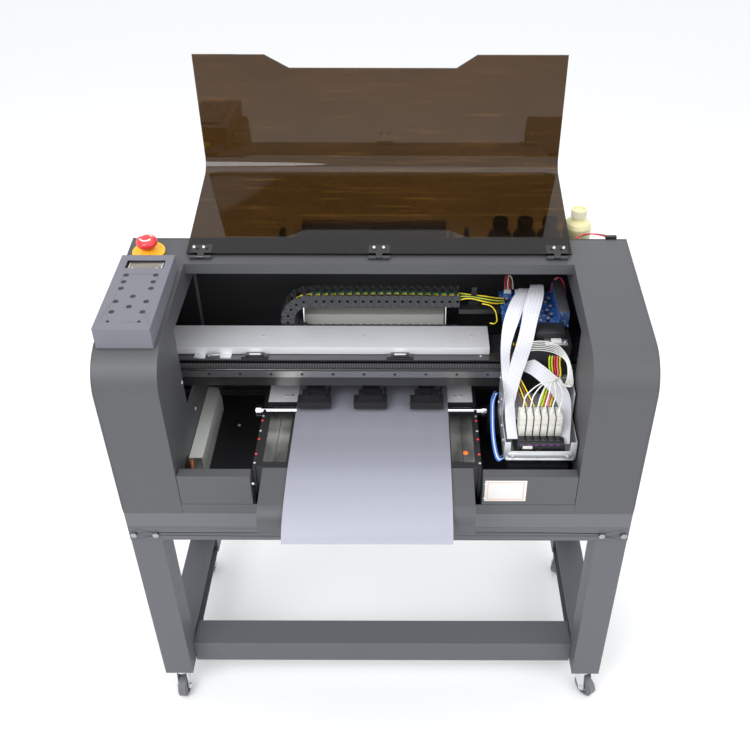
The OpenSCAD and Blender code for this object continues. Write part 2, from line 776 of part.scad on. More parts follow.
module estop_button() color("red") on_top(estop_x, estop_y) {
    translate([0, 0, estop_travel + 1.2]) cylinder(r = 7, h = 18 - estop_travel);
    translate([0, 0, 18]) rotate_extrude() polygon([[0, 0], [17, 0], [20, 3], [20, 9], [18.5, 12.5],
        [15, 15], [9, 16.6], [0, 17]]);
}

module keypad_box() color("#53555b") difference() {
    along_x(pad_x - pad_w / 2, pad_x + pad_w / 2) polygon([
        [pad_y0, top_z(pad_y0) + 0.2], [pad_y0, pad_z],
        [pad_y1, pad_z + (pad_y1 - pad_y0) * tan(pad_slope)], [pad_y1, top_z(pad_y1) + 0.2]
    ]);
    along_x(pad_x - pad_w / 2 + 2, pad_x + pad_w / 2 - 2) polygon([
        [pad_y0 + 2, top_z(pad_y0) - 1], [pad_y0 + 2, pad_z - 3],
        [pad_y1 - 2, pad_z + (pad_y1 - pad_y0) * tan(pad_slope) - 3], [pad_y1 - 2, top_z(pad_y1) - 1]
    ]);
    for (p = key_places) on_keypad(p[0], p[1]) cylinder(r = key_r + 0.1, h = 20, center = true);
    for (s = [-1, 1]) on_keypad(pad_x + s * key_x, 68) cylinder(r = 2, h = 20, center = true);
    on_keypad(pad_x, 241) cube([70, 26, 20], center = true);
}

module keypad_buttons() color("#2e3034") for (p = key_places) on_keypad(p[0], p[1])
    translate([0, 0, -9]) {
        cylinder(r = key_r, h = 7.6);
        cylinder(r = key_r + 1.4, h = 3);
    }

// ---- film supply, ink, power ---------------------------------------------------------------

module supply_roll() color("#c9ced6") {
    difference() {
        rod_x(roll_d / 2, film_x - film_w / 2, film_x + film_w / 2, roll_y, roll_z);
        rod_x(roll_d / 2 - 12, film_x - film_w / 2 - 1, film_x - film_w / 2 + 4, roll_y, roll_z);
        rod_x(roll_d / 2 - 12, film_x + film_w / 2 - 4, film_x + film_w / 2 + 1, roll_y, roll_z);
    }
    rod_x(shaft_r, film_x - 205, film_x + 205, roll_y, roll_z);
    for (x = [film_x - 166, film_x + 158]) rod_x(24, x, x + 8, roll_y, roll_z);
}

module roll_supports() color("#3c3e41") for (x = [film_x - 198, film_x + 190]) difference() {
    union() {
        block(x, x + 8, body_d, roll_y, 830, 880);
        rod_x(30, x, x + 8, roll_y, roll_z);
        block(x - 12, x + 20, body_d, body_d + 4, 822, 890);
    }
    rod_x(shaft_r + 0.05, x - 20, x + 30, roll_y, roll_z);
}

module bottle(x, r, h) translate([x, 450, 854]) {
    rotate_extrude($fn = 64) polygon([[0, 0], [r - 3, 0], [r, 3], [r, h - 20], [r - 4, h - 12], [12, h - 6],
        [12, h], [0, h]]);
    translate([0, 0, h]) difference() {
        cylinder(r = 15, h = 16);
        translate([0, 0, 13]) cylinder(r = 12, h = 5);
    }
}

module ink_bottles() color("khaki") {
    for (x = [242, 292, 342]) bottle(x, 24, 106);
    bottle(398, 28, 130);
}

module power_inlet() color("#161719") translate([-350, body_d, 640]) difference() {
    union() {
        translate([-17, 0, -23]) cube([34, 3, 46]);
        translate([-11.5, -14, -17.5]) cube([23, 14, 35]);
    }
    translate([-9.5, -11, -12]) cube([19, 15, 24]);
    for (z = [-20, 20]) translate([0, 4, z]) rotate([90, 0, 0]) cylinder(r = 1.7, h = 5);
}

// Rocker seen from the side, tilted to one side as when it is off
module rocker_switch() color("#1b1c1e") translate([-400, body_d - 2, 640]) rotate([8, 0, 0]) {
    translate([-9, 0, 0]) rotate([90, 0, 90]) linear_extrude(18)
        polygon([[-6, -6], [4, -15], [6, -14], [4, 0], [6, 14], [4, 15], [-6, 6]]);
    rod_x(1.5, -9.6, 9.6, 0, 0);
}

at_origin() stand_left_frame();
at_origin() stand_right_frame();
at_origin() stand_beams();
at_origin() stand_bolts();
at_origin() caster_stems();
at_origin() caster_fork_fl();
at_origin() caster_fork_fr();
at_origin() caster_fork_rl();
at_origin() caster_fork_rr();
at_origin() caster_wheel_fl();
at_origin() caster_wheel_fr();
at_origin() caster_wheel_rl();
at_origin() caster_wheel_rr();
at_origin() base_tray();
at_origin() floor_pan();
at_origin() front_panels();
at_origin() left_cover();
at_origin() right_cover();
at_origin() end_covers();
at_origin() rear_cover();
at_origin() top_bridge();
at_origin() platen_table();
at_origin() platen_plates();
at_origin() apron();
at_origin() feed_roller();
at_origin() motors();
at_origin() pinch_arms();
at_origin() pinch_rollers();
at_origin() film();
at_origin() gantry_beam();
at_origin() beam_cover();
at_origin() beam_brackets();
at_origin() linear_rail();
at_origin() drive_belt();
at_origin() drive_pulley();
at_origin() idler_pulley();
at_origin() carriage_frame();
at_origin() bearing_block();
at_origin() carriage_box();
at_origin() print_heads();
at_origin() dampers();
at_origin() head_board();
at_origin() ribbon_cables();
at_origin() chain_upper();
at_origin() chain_loop();
at_origin() chain_lower();
at_origin() cap_station();
at_origin() wire_ducts();
at_origin() lid();
at_origin() hinge_leaves();
at_origin() hinge_straps();
at_origin() estop_collar();
at_origin() estop_button();
at_origin() keypad_box();
at_origin() keypad_buttons();
at_origin() supply_roll();
at_origin() roll_supports();
at_origin() ink_bottles();
at_origin() power_inlet();
at_origin() rocker_switch();
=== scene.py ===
"""Looks of a roll-fed film printer: finishes, small parts, wiring, film, camera and light."""

import json
import logging
import math
import random
from dataclasses import dataclass
from enum import Enum
from typing import Optional, Sequence, Union

import bpy
from mathutils import Matrix, Vector

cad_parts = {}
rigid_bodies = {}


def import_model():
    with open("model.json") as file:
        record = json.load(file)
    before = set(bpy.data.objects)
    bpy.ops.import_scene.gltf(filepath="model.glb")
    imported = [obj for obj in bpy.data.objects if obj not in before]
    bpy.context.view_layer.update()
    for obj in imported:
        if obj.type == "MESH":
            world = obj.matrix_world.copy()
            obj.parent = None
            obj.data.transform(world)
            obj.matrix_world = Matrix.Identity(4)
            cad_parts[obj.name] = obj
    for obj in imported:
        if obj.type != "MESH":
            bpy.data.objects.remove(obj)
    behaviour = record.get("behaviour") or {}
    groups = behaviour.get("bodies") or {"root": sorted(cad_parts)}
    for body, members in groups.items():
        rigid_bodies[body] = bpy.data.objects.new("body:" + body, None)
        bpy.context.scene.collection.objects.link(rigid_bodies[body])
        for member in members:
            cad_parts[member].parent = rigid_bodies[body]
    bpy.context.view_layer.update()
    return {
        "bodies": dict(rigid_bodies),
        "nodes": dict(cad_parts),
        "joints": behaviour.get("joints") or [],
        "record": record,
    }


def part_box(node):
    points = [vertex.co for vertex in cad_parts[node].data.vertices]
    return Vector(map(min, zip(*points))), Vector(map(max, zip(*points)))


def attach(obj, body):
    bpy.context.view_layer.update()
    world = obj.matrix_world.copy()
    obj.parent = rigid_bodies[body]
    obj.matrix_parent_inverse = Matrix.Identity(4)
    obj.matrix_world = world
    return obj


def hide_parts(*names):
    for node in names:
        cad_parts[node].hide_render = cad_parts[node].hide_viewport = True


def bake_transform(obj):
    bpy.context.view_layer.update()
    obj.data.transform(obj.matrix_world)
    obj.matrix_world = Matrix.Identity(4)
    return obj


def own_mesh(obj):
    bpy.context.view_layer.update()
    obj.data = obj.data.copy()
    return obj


log = logging.getLogger("printer")
MM = 0.001
Triple = tuple[float, float, float]
Number = Union[int, float]


class Plan:
    """The machine's own measures: millimetres from its middle, its front plane and the floor."""

    front: float = 0.0

    @classmethod
    def read(cls) -> None:
        """Takes the place of the front plane from the base tray."""
        cls.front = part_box("base_tray")[0].y

    @classmethod
    def at(cls, x: float, y: float, z: float) -> Vector:
        """Turns a place in the machine's millimetres into the frame's metres."""
        return Vector((x * MM, cls.front + y * MM, z * MM))


# ---- shaders -------------------------------------------------------------------------------


class Value:
    """A shader socket that takes part in Python expressions."""

    def __init__(self, graph: "Graph", socket: bpy.types.NodeSocket) -> None:
        """Keeps the socket and the graph that it belongs to."""
        self.graph = graph
        self.socket = socket

    def _with(self, operation: str, other: Union["Value", Number], swapped: bool = False) -> "Value":
        """Adds a Math node for this value and another.

        Args:
            operation: the Math node's operation.
            other: the second value, or a number.
            swapped: True if the other value comes first.

        Returns:
            The Math node's result.
        """
        pair = (other, self) if swapped else (self, other)
        return self.graph.node("ShaderNodeMath", {"operation": operation}, {0: pair[0], 1: pair[1]})

    def __add__(self, other: Union["Value", Number]) -> "Value":
        """Sum."""
        return self._with("ADD", other)

    def __radd__(self, other: Number) -> "Value":
        """Sum, with the number first."""
        return self._with("ADD", other, True)

    def __sub__(self, other: Union["Value", Number]) -> "Value":
        """Difference."""
        return self._with("SUBTRACT", other)

    def __rsub__(self, other: Number) -> "Value":
        """Difference, with the number first."""
        return self._with("SUBTRACT", other, True)

    def __mul__(self, other: Union["Value", Number]) -> "Value":
        """Product."""
        return self._with("MULTIPLY", other)

    def __rmul__(self, other: Number) -> "Value":
        """Product, with the number first."""
        return self._with("MULTIPLY", other, True)

    def over(self, edge: Number) -> "Value":
        """1 where this value is over an edge, and 0 elsewhere."""
        return self._with("GREATER_THAN", edge)

    def step(self, low: float, high: float) -> "Value":
        """0 under low and 1 over high, with a smooth rise between them."""
        settings = {"interpolation_type": "SMOOTHSTEP"}
        return self.graph.node("ShaderNodeMapRange", settings, {0: self, 1: low, 2: high})

    def wave(self, pitch: float) -> "Value":
        """A value from 0 to 1 that repeats every pitch."""
        turned = self * (2 * math.pi / pitch)
        sine = self.graph.node("ShaderNodeMath", {"operation": "SINE"}, {0: turned})
        return sine * 0.5 + 0.5


class Graph:
    """One material's nodes."""

    def __init__(self, name: str) -> None:
        """Starts a material with one Principled shader.

        Args:
            name: the material's name.
        """
        self.material = bpy.data.materials.new(name)
        self.material.use_nodes = True
        self.tree = self.material.node_tree
        self.shader = self.tree.nodes["Principled BSDF"]

    def node(self, kind: str, settings: Optional[dict] = None, inputs: Optional[dict] = None,
             output: Union[int, str] = 0) -> Value:
        """Adds a node of any kind.

        Args:
            kind: the node's type.
            settings: its properties, set first; "stops" are a ramp's places and colours.
            inputs: values or links, by socket name or number.
            output: the output that is wanted.

        Returns:
            That output.
        """
        made = self.tree.nodes.new(kind)
        for key, setting in (settings or {}).items():
            if key == "stops":
                for i, (place, colour) in enumerate(setting):
                    stops = made.color_ramp.elements
                    stop = stops[i] if i < 2 else stops.new(place)
                    stop.position, stop.color = place, (*colour, 1.0)
            else:
                setattr(made, key, setting)
        for key, given in (inputs or {}).items():
            self.feed(made.inputs[key], given)
        return Value(self, made.outputs[output])

    def feed(self, socket: bpy.types.NodeSocket, given: Union[Value, Number, Sequence[float]]) -> None:
        """Links a value to a socket, or sets the socket.

        Args:
            socket: the input socket.
            given: a value, a number, a vector or a colour.
        """
        if isinstance(given, Value):
            self.tree.links.new(given.socket, socket)
        elif isinstance(given, (int, float)):
            socket.default_value = given
        else:
            socket.default_value = (*given, 1.0) if socket.type == "RGBA" and len(given) == 3 else given

    def set(self, **given: Union[Value, Number, Sequence[float]]) -> None:
        """Sets the Principled shader's sockets by name, with _ for a space."""
        for name, value in given.items():
            self.feed(self.shader.inputs[name.replace("_", " ")], value)

    def place(self, stretch: Triple = (1.0, 1.0, 1.0)) -> Value:
        """Object coordinates, stretched.

        Args:
            stretch: how much finer the pattern gets along each axis.

        Returns:
            The coordinates.
        """
        coordinates = self.node("ShaderNodeTexCoord", output="Object")
        return self.node("ShaderNodeMapping", {}, {"Vector": coordinates, "Scale": stretch})

    def axis(self, name: str, source: Optional[Value] = None) -> Value:
        """One coordinate of a place, by its letter.

        Args:
            name: X, Y or Z.
            source: the place, or the object's own coordinates.

        Returns:
            The coordinate.
        """
        return self.node("ShaderNodeSeparateXYZ", {}, {0: source or self.place()}, name)

    def noise(self, size: float, detail: float = 2.0, stretch: Triple = (1.0, 1.0, 1.0)) -> Value:
        """Noise from 0 to 1.

        Args:
            size: the width of one blotch, in metres.
            detail: how many finer layers it has.
            stretch: how much finer it is along each axis.

        Returns:
            The noise.
        """
        inputs = {"Vector": self.place(stretch), "Scale": 1 / size, "Detail": detail}
        return self.node("ShaderNodeTexNoise", {}, inputs, 0)

    def mix(self, share: Union[Value, Number], first: Union[Value, Triple],
            second: Union[Value, Triple]) -> Value:
        """A colour between two colours.

        Args:
            share: 0 for the first colour, 1 for the second.
            first: a colour or a value.
            second: a colour or a value.

        Returns:
            The mixed colour.
        """
        return self.node("ShaderNodeMix", {"data_type": "RGBA"}, {0: share, 6: first, 7: second}, 2)

    def bump(self, height: Value, depth: float) -> Value:
        """A normal from a height of 0 to 1.

        Args:
            height: the height.
            depth: its full depth, in metres.

        Returns:
            The normal.
        """
        return self.node("ShaderNodeBump", {}, {"Height": height, "Distance": depth, "Strength": 0.7},
                         "Normal")


def shaded(colour: Triple, share: float) -> Triple:
    """A colour made lighter or darker by a share."""
    return tuple(max(0.0, min(1.0, c * (1 + share))) for c in colour)


@dataclass(frozen=True)
class Finish:
    """A plain moulded or painted surface with a fine grain.

    Attributes:
        name: the material's name.
        colour: its colour.
        roughness: its mean roughness.
        metallic: 1 for bare metal.
        coat: the weight of a clear coat.
        mottle: by what share the colour wanders.
        patch: the size of its blotches, in metres.
        grain: the size of its grain, in metres.
        depth: the depth of its grain, in metres.
        polish: by how much the roughness wanders.
    """

    name: str
    colour: Triple
    roughness: float = 0.5
    metallic: float = 0.0
    coat: float = 0.0
    mottle: float = 0.08
    patch: float = 0.11
    grain: float = 0.0016
    depth: float = 0.00006
    polish: float = 0.06

    def material(self) -> bpy.types.Material:
        """The finish as a material, made once."""
        found = bpy.data.materials.get(self.name)
        if found:
            return found
        graph = Graph(self.name)
        graph.material.diffuse_color = (*self.colour, 1.0)
        graph.set(Metallic=self.metallic, Coat_Weight=self.coat)
        self.paint(graph)
        return graph.material

    def paint(self, graph: Graph) -> None:
        """Adds the pattern to the shader."""
        grain = graph.noise(self.grain, 3.0)
        cloud = graph.noise(self.patch, 3.0)
        graph.set(Base_Color=graph.mix(cloud * 0.7 + grain * 0.3, shaded(self.colour, -self.mottle),
                                       shaded(self.colour, self.mottle)),
                  Roughness=cloud * (2 * self.polish) + (self.roughness - self.polish),
                  Normal=graph.bump(grain, self.depth))


@dataclass(frozen=True)
class PowderCoat(Finish):
    """Powder coat with a fine orange peel and pale specks of dust."""

    def paint(self, graph: Graph) -> None:
        """Adds peel, clouds and dust to the shader."""
        peel = graph.noise(self.grain, 2.0)
        cloud = graph.noise(self.patch, 4.0)
        dust = graph.noise(0.0035, 1.0).step(0.74, 0.8)
        tone = graph.mix(cloud * 0.6 + peel * 0.4, shaded(self.colour, -self.mottle),
                         shaded(self.colour, self.mottle))
        graph.set(Base_Color=graph.mix(dust * 0.12, tone, (0.6, 0.6, 0.6)),
                  Roughness=peel * 0.12 + cloud * (2 * self.polish) + (self.roughness - 0.1),
                  Normal=graph.bump(peel, self.depth))


@dataclass(frozen=True)
class Brushed(Finish):
    """Metal brushed along one axis.

    Attributes:
        along: the axis of the strokes, X, Y or Z.
    """

    along: str = "X"

    def paint(self, graph: Graph) -> None:
        """Adds strokes, stains and faint scratches to the shader."""
        stretch = tuple(1.0 if letter == self.along else 60.0 for letter in "XYZ")
        stroke = graph.noise(0.05, 4.0, stretch)
        scratch = graph.noise(0.03, 1.0, tuple(s * 0.4 for s in stretch)).step(0.66, 0.72)
        stain = graph.noise(self.patch, 3.0)
        tone = graph.mix(stroke * 0.65 + stain * 0.35, shaded(self.colour, -self.mottle),
                         shaded(self.colour, self.mottle))
        graph.set(Base_Color=graph.mix(scratch * 0.3, tone, shaded(self.colour, 0.3)),
                  Roughness=stroke * 0.22 + stain * (2 * self.polish) + (self.roughness - 0.14),
                  Normal=graph.bump(stroke, self.depth))


@dataclass(frozen=True)
class TintedAcrylic(Finish):
    """Polished see-through sheet with smears that also paint soft reflections, painted reflection streaks and
    painted shade low down.
    """

    def paint(self, graph: Graph) -> None:
        """Adds smears, painted reflection streaks and painted shade low down to the shader, and makes it
        see-through.
        """
        # Smears: real smears in the roughness; their colour blotches also paint soft reflections.
        smear = graph.noise(0.16, 4.0, (1.0, 2.5, 2.5))
        # Painted reflection: pale streaks in the colour stand in for reflected highlights on the sheet.
        painted_reflection_streak = graph.noise(0.07, 2.0, (0.5, 7.0, 7.0)).step(0.55, 0.8)
        # Painted shade: the sheet's colour is darker low down and lighter higher up.
        high = graph.axis("Z").step(0.95, 1.22)
        tone = graph.mix(smear, shaded(self.colour, -0.35), shaded(self.colour, 0.35))
        tone = graph.mix(high * 0.5 + 0.5, shaded(self.colour, -0.85), tone)
        graph.set(Base_Color=graph.mix(painted_reflection_streak * 0.5, tone, shaded(self.colour, 1.6)),
                  Roughness=smear * 0.03 + painted_reflection_streak * 0.05 + self.roughness,
                  Transmission_Weight=1.0, IOR=1.49)


@dataclass(frozen=True)
class FrostedFilm(Finish):
    """Frosted film that lets some light through, with faint marks of its winding and painted light on its
    part out in front.
    """

    def paint(self, graph: Graph) -> None:
        """Adds winding marks, painted light on the front part and a soft see-through to the shader."""
        band = graph.noise(0.09, 3.0, (0.15, 2.0, 2.0))
        # Painted light: the film is made paler towards the front, where more light falls on it.
        painted_light_front = 1.0 - graph.axis("Y").step(-0.33, -0.1)
        line = graph.axis("X").wave(0.052) * graph.noise(0.2, 1.0)
        tone = graph.mix(band * 0.7 + line * 0.3, shaded(self.colour, -0.06), shaded(self.colour, 0.08))
        graph.set(Base_Color=graph.mix(painted_light_front * 0.75, tone, shaded(self.colour, 0.7)),
                  Roughness=band * 0.12 + self.roughness, Alpha=band * 0.08 + 0.78,
                  Normal=graph.bump(graph.noise(0.0012, 2.0), self.depth))


@dataclass(frozen=True)
class CircuitBoard(Finish):
    """Solder mask over tracks, with pads and small white marks."""

    def paint(self, graph: Graph) -> None:
        """Adds tracks, pads and marks to the shader."""
        cell = {"Vector": graph.place(), "Scale": 190.0, "Mortar Size": 0.09, "Color1": (0, 0, 0),
                "Color2": (0.5, 0.5, 0.5), "Mortar": (1, 1, 1)}
        track = graph.node("ShaderNodeTexBrick", {"offset": 0.37, "squash": 0.6}, cell, "Fac")
        pad = graph.node("ShaderNodeTexVoronoi", {}, {"Vector": graph.place(), "Scale": 260.0}, 0)
        mask = graph.mix(track * 0.5, self.colour, shaded(self.colour, 0.9))
        dotted = graph.mix((0.24 - pad * 1.0).over(0.0), mask, (0.62, 0.64, 0.66))
        graph.set(Base_Color=dotted, Roughness=track * 0.15 + self.roughness,
                  Normal=graph.bump(track, self.depth))


@dataclass(frozen=True)
class FlatCable(Finish):
    """Jacket of a flat cable: ridges over its cores, and a row of faint ticks along it.

    Attributes:
        cores: how many ridges lie across it.
    """

    cores: int = 12

    def paint(self, graph: Graph) -> None:
        """Adds ridges and ticks along the strip's own map to the shader."""
        laid = graph.node("ShaderNodeTexCoord", output="UV")
        across, along = graph.axis("X", laid), graph.axis("Y", laid)
        ridge = across.wave(1.0 / self.cores)
        tick = along.wave(0.0052).over(0.55) * across.wave(0.2).over(0.72)
        tone = graph.mix(ridge * 0.5, shaded(self.colour, -0.14), self.colour)
        graph.set(Base_Color=graph.mix(tick * 0.32, tone, (0.25, 0.27, 0.42)),
                  Roughness=ridge * 0.1 + self.roughness, Normal=graph.bump(ridge, self.depth))


@dataclass(frozen=True)
class PaintedShadeInside(PowderCoat):
    """Powder coat with painted shade on the side that looks into the machine.

    Attributes:
        wall: the Y, in metres, behind which the coat is grey.
        inside: the colour of the painted shade on that side.
    """

    wall: float = 0.1875
    inside: Triple = (0.014, 0.0145, 0.016)

    def paint(self, graph: Graph) -> None:
        """Adds the coat, and paints shade on it in front of the wall."""
        peel = graph.noise(self.grain, 2.0)
        cloud = graph.noise(self.patch, 4.0)
        outer = graph.axis("Y").over(self.wall)
        tone = graph.mix(cloud * 0.6 + peel * 0.4, shaded(self.colour, -self.mottle),
                         shaded(self.colour, self.mottle))
        # Painted shade: the face towards the inside of the body takes a near-black colour for the shade that
        # falls there.
        graph.set(Base_Color=graph.mix(outer, self.inside, tone),
                  Roughness=peel * 0.12 + cloud * (2 * self.polish) + (self.roughness - 0.1),
                  Normal=graph.bump(peel, self.depth))


@dataclass(frozen=True)
class EdgePlate(Finish):
    """Steel edge plates with soft smears in front, and a paler guide plate behind them.

    Attributes:
        split: the Y, in metres, behind which the paler plate lies.
        pale: the paler plate's colour.
    """

    split: float = -0.02
    pale: Triple = (0.92, 0.91, 0.95)

    def paint(self, graph: Graph) -> None:
        """Adds smears along the plates to the shader, and tells the two kinds apart."""
        smear = graph.noise(0.045, 2.0, (1.0, 0.35, 1.0))
        fine = graph.noise(0.02, 3.0, (30.0, 1.0, 30.0))
        behind = graph.axis("Y").over(self.split)
        tone = graph.mix(smear.step(0.3, 0.7), shaded(self.colour, -self.mottle),
                         shaded(self.colour, self.mottle))
        graph.set(Base_Color=graph.mix(behind, tone, self.pale), Metallic=1.0 - behind * 0.7,
                  Roughness=fine * 0.1 + smear * 0.1 + behind * 0.15 + (self.roughness - 0.06),
                  Normal=graph.bump(fine, self.depth))


class Shades(Enum):
    """Colours of the wires and small coloured parts."""

    WHITE = (0.86, 0.87, 0.84)
    CLEAR = (0.8, 0.8, 0.74)
    YELLOW = (0.9, 0.72, 0.03)
    LIME = (0.62, 0.75, 0.04)
    RED = (0.75, 0.03, 0.05)
    PINK = (0.9, 0.25, 0.3)
    BLUE = (0.04, 0.16, 0.6)
    BLACK = (0.02, 0.02, 0.022)
    ORANGE = (0.9, 0.2, 0.02)
    BROWN = (0.22, 0.08, 0.03)
    GREEN = (0.05, 0.35, 0.12)
    CREAM = (0.72, 0.68, 0.5)

    def finish(self) -> Finish:
        """The colour as glossy plastic."""
        return Finish("jacket_" + self.name.lower(), self.value, 0.38, mottle=0.1, patch=0.02, grain=0.0008,
                      depth=0.00002)


GREY = (0.076, 0.077, 0.084)
FINISHES: dict[str, Finish] = {
    "stand_grey": PowderCoat("stand_coat", (0.1, 0.102, 0.117), 0.5, mottle=0.1, grain=0.0011, depth=0.00009),
    "body_grey": PowderCoat("body_coat", GREY, 0.47, mottle=0.1, grain=0.001, depth=0.00009),
    "white_panel": Finish("white_panel", (0.8, 0.83, 0.81), 0.32, coat=0.2, mottle=0.03),
    "black_metal": PowderCoat("black_coat", (0.012, 0.0125, 0.014), 0.42, mottle=0.25, grain=0.0012),
    "black_plastic": Finish("black_moulding", (0.018, 0.018, 0.02), 0.36, mottle=0.3, grain=0.0009),
    "dark_plastic": Finish("dark_moulding", (0.035, 0.036, 0.04), 0.48, mottle=0.3, grain=0.0009),
    "bright_steel": Brushed("bright_steel", (0.5, 0.5, 0.51), 0.3, 1.0, mottle=0.12, depth=0.00001),
    "brushed_alu": Brushed("brushed_alu", (0.5, 0.5, 0.52), 0.36, 1.0, mottle=0.16, patch=0.07,
                           depth=0.00002),
    "chrome": Brushed("chrome", (0.78, 0.79, 0.81), 0.2, 1.0, mottle=0.05, depth=0.000004),
    "rubber": Finish("roller_rubber", (0.022, 0.022, 0.024), 0.6, mottle=0.3, patch=0.02),
    "tyre": Finish("tyre_rubber", (0.15, 0.15, 0.17), 0.55, mottle=0.2, patch=0.02),
    "film": FrostedFilm("frosted_film", (0.27, 0.275, 0.325), 0.34, depth=0.000015),
    "film_roll": FrostedFilm("wound_film", (0.6, 0.62, 0.68), 0.4, depth=0.00003),
    "acrylic": TintedAcrylic("tinted_acrylic", (0.07, 0.032, 0.006), 0.02),
    "pcb_blue": CircuitBoard("circuit_board", (0.012, 0.07, 0.26), 0.3, depth=0.00006),
    "ribbon": FlatCable("flat_cable", (0.84, 0.84, 0.9), 0.42, depth=0.0003),
    "white_plastic": Finish("milky_moulding", (0.68, 0.67, 0.62), 0.35, mottle=0.06, patch=0.02),
    "duct_grey": Finish("duct_pvc", (0.6, 0.61, 0.58), 0.45, mottle=0.05),
    "yellow_plastic": Finish("yellow_moulding", (0.93, 0.5, 0.01), 0.3, coat=0.2, mottle=0.05),
    "red_plastic": Finish("red_moulding", (0.78, 0.04, 0.045), 0.28, coat=0.3, mottle=0.05),
    "ink_bottle": Finish("bottle_poly", (0.74, 0.7, 0.4), 0.4, mottle=0.12, patch=0.03),
    "keypad_grey": PowderCoat("keypad_coat", (0.158, 0.158, 0.188), 0.5, mottle=0.06, grain=0.0009),
}
GLOSS_BLACK = Finish("gloss_black", (0.008, 0.008, 0.009), 0.12, coat=0.5, mottle=0.3)
DISPLAY = Finish("display_glass", (0.2, 0.17, 0.14), 0.16, coat=0.4, mottle=0.25, patch=0.03)
PALE_MARK = Finish("pale_mark", (0.7, 0.69, 0.68), 0.45, mottle=0.04)
EDGE_PLATES = EdgePlate("edge_plate_steel", (0.5, 0.49, 0.46), 0.2, mottle=0.4, depth=0.00001)
COVER_ALU = Brushed("cover_alu", (0.82, 0.82, 0.86), 0.42, 0.45, mottle=0.1, patch=0.09, depth=0.00001)
BEAM_GLOSS = Brushed("beam_anodised", (0.1, 0.1, 0.105), 0.2, 0.75, mottle=0.2, depth=0.000004)
# Rear wall coat with painted shade on its face towards the inside of the body.
REAR_WALL = PaintedShadeInside("rear_wall_coat", GREY, 0.5, mottle=0.1, grain=0.001, depth=0.00009)
BELT_TOOTH = Finish("belt_tooth", (0.09, 0.09, 0.095), 0.5, mottle=0.3, patch=0.01)
TRAY_COAT = PowderCoat("tray_coat", (0.118, 0.12, 0.136), 0.46, mottle=0.1, grain=0.001, depth=0.00009)
RAIL_STEEL = Brushed("rail_steel", (0.34, 0.34, 0.35), 0.28, 0.9, mottle=0.15, depth=0.00001)
BOLT_ZINC = Brushed("bolt_zinc", (0.36, 0.36, 0.37), 0.34, 1.0, mottle=0.2, depth=0.00001)
CHIP = Finish("chip_epoxy", (0.02, 0.021, 0.023), 0.4, mottle=0.3, patch=0.01)


# ---- modelling -----------------------------------------------------------------------------

Piece = bpy.types.Object
Place = tuple[float, float, float]
SHARP = 50.0  # an edge over this angle, in degrees, is a sharp one


def smooth(points: Sequence[Sequence[float]], steps: int) -> list[Vector]:
    """A smooth line through points.

    Args:
        points: the points that it passes through.
        steps: how many stretches lie between two of them.

    Returns:
        The line's points.
    """
    p = [Vector(q) for q in points]
    p = [2 * p[0] - p[1], *p, 2 * p[-1] - p[-2]]
    line = []
    for a, b, c, d in zip(p, p[1:], p[2:], p[3:]):
        for i in range(steps):
            t = i / steps
            line.append(0.5 * (2 * b + (c - a) * t + (2 * a - 5 * b + 4 * c - d) * t ** 2
                               + (3 * b - a - 3 * c + d) * t ** 3))
    line.append(p[-2])
    return line


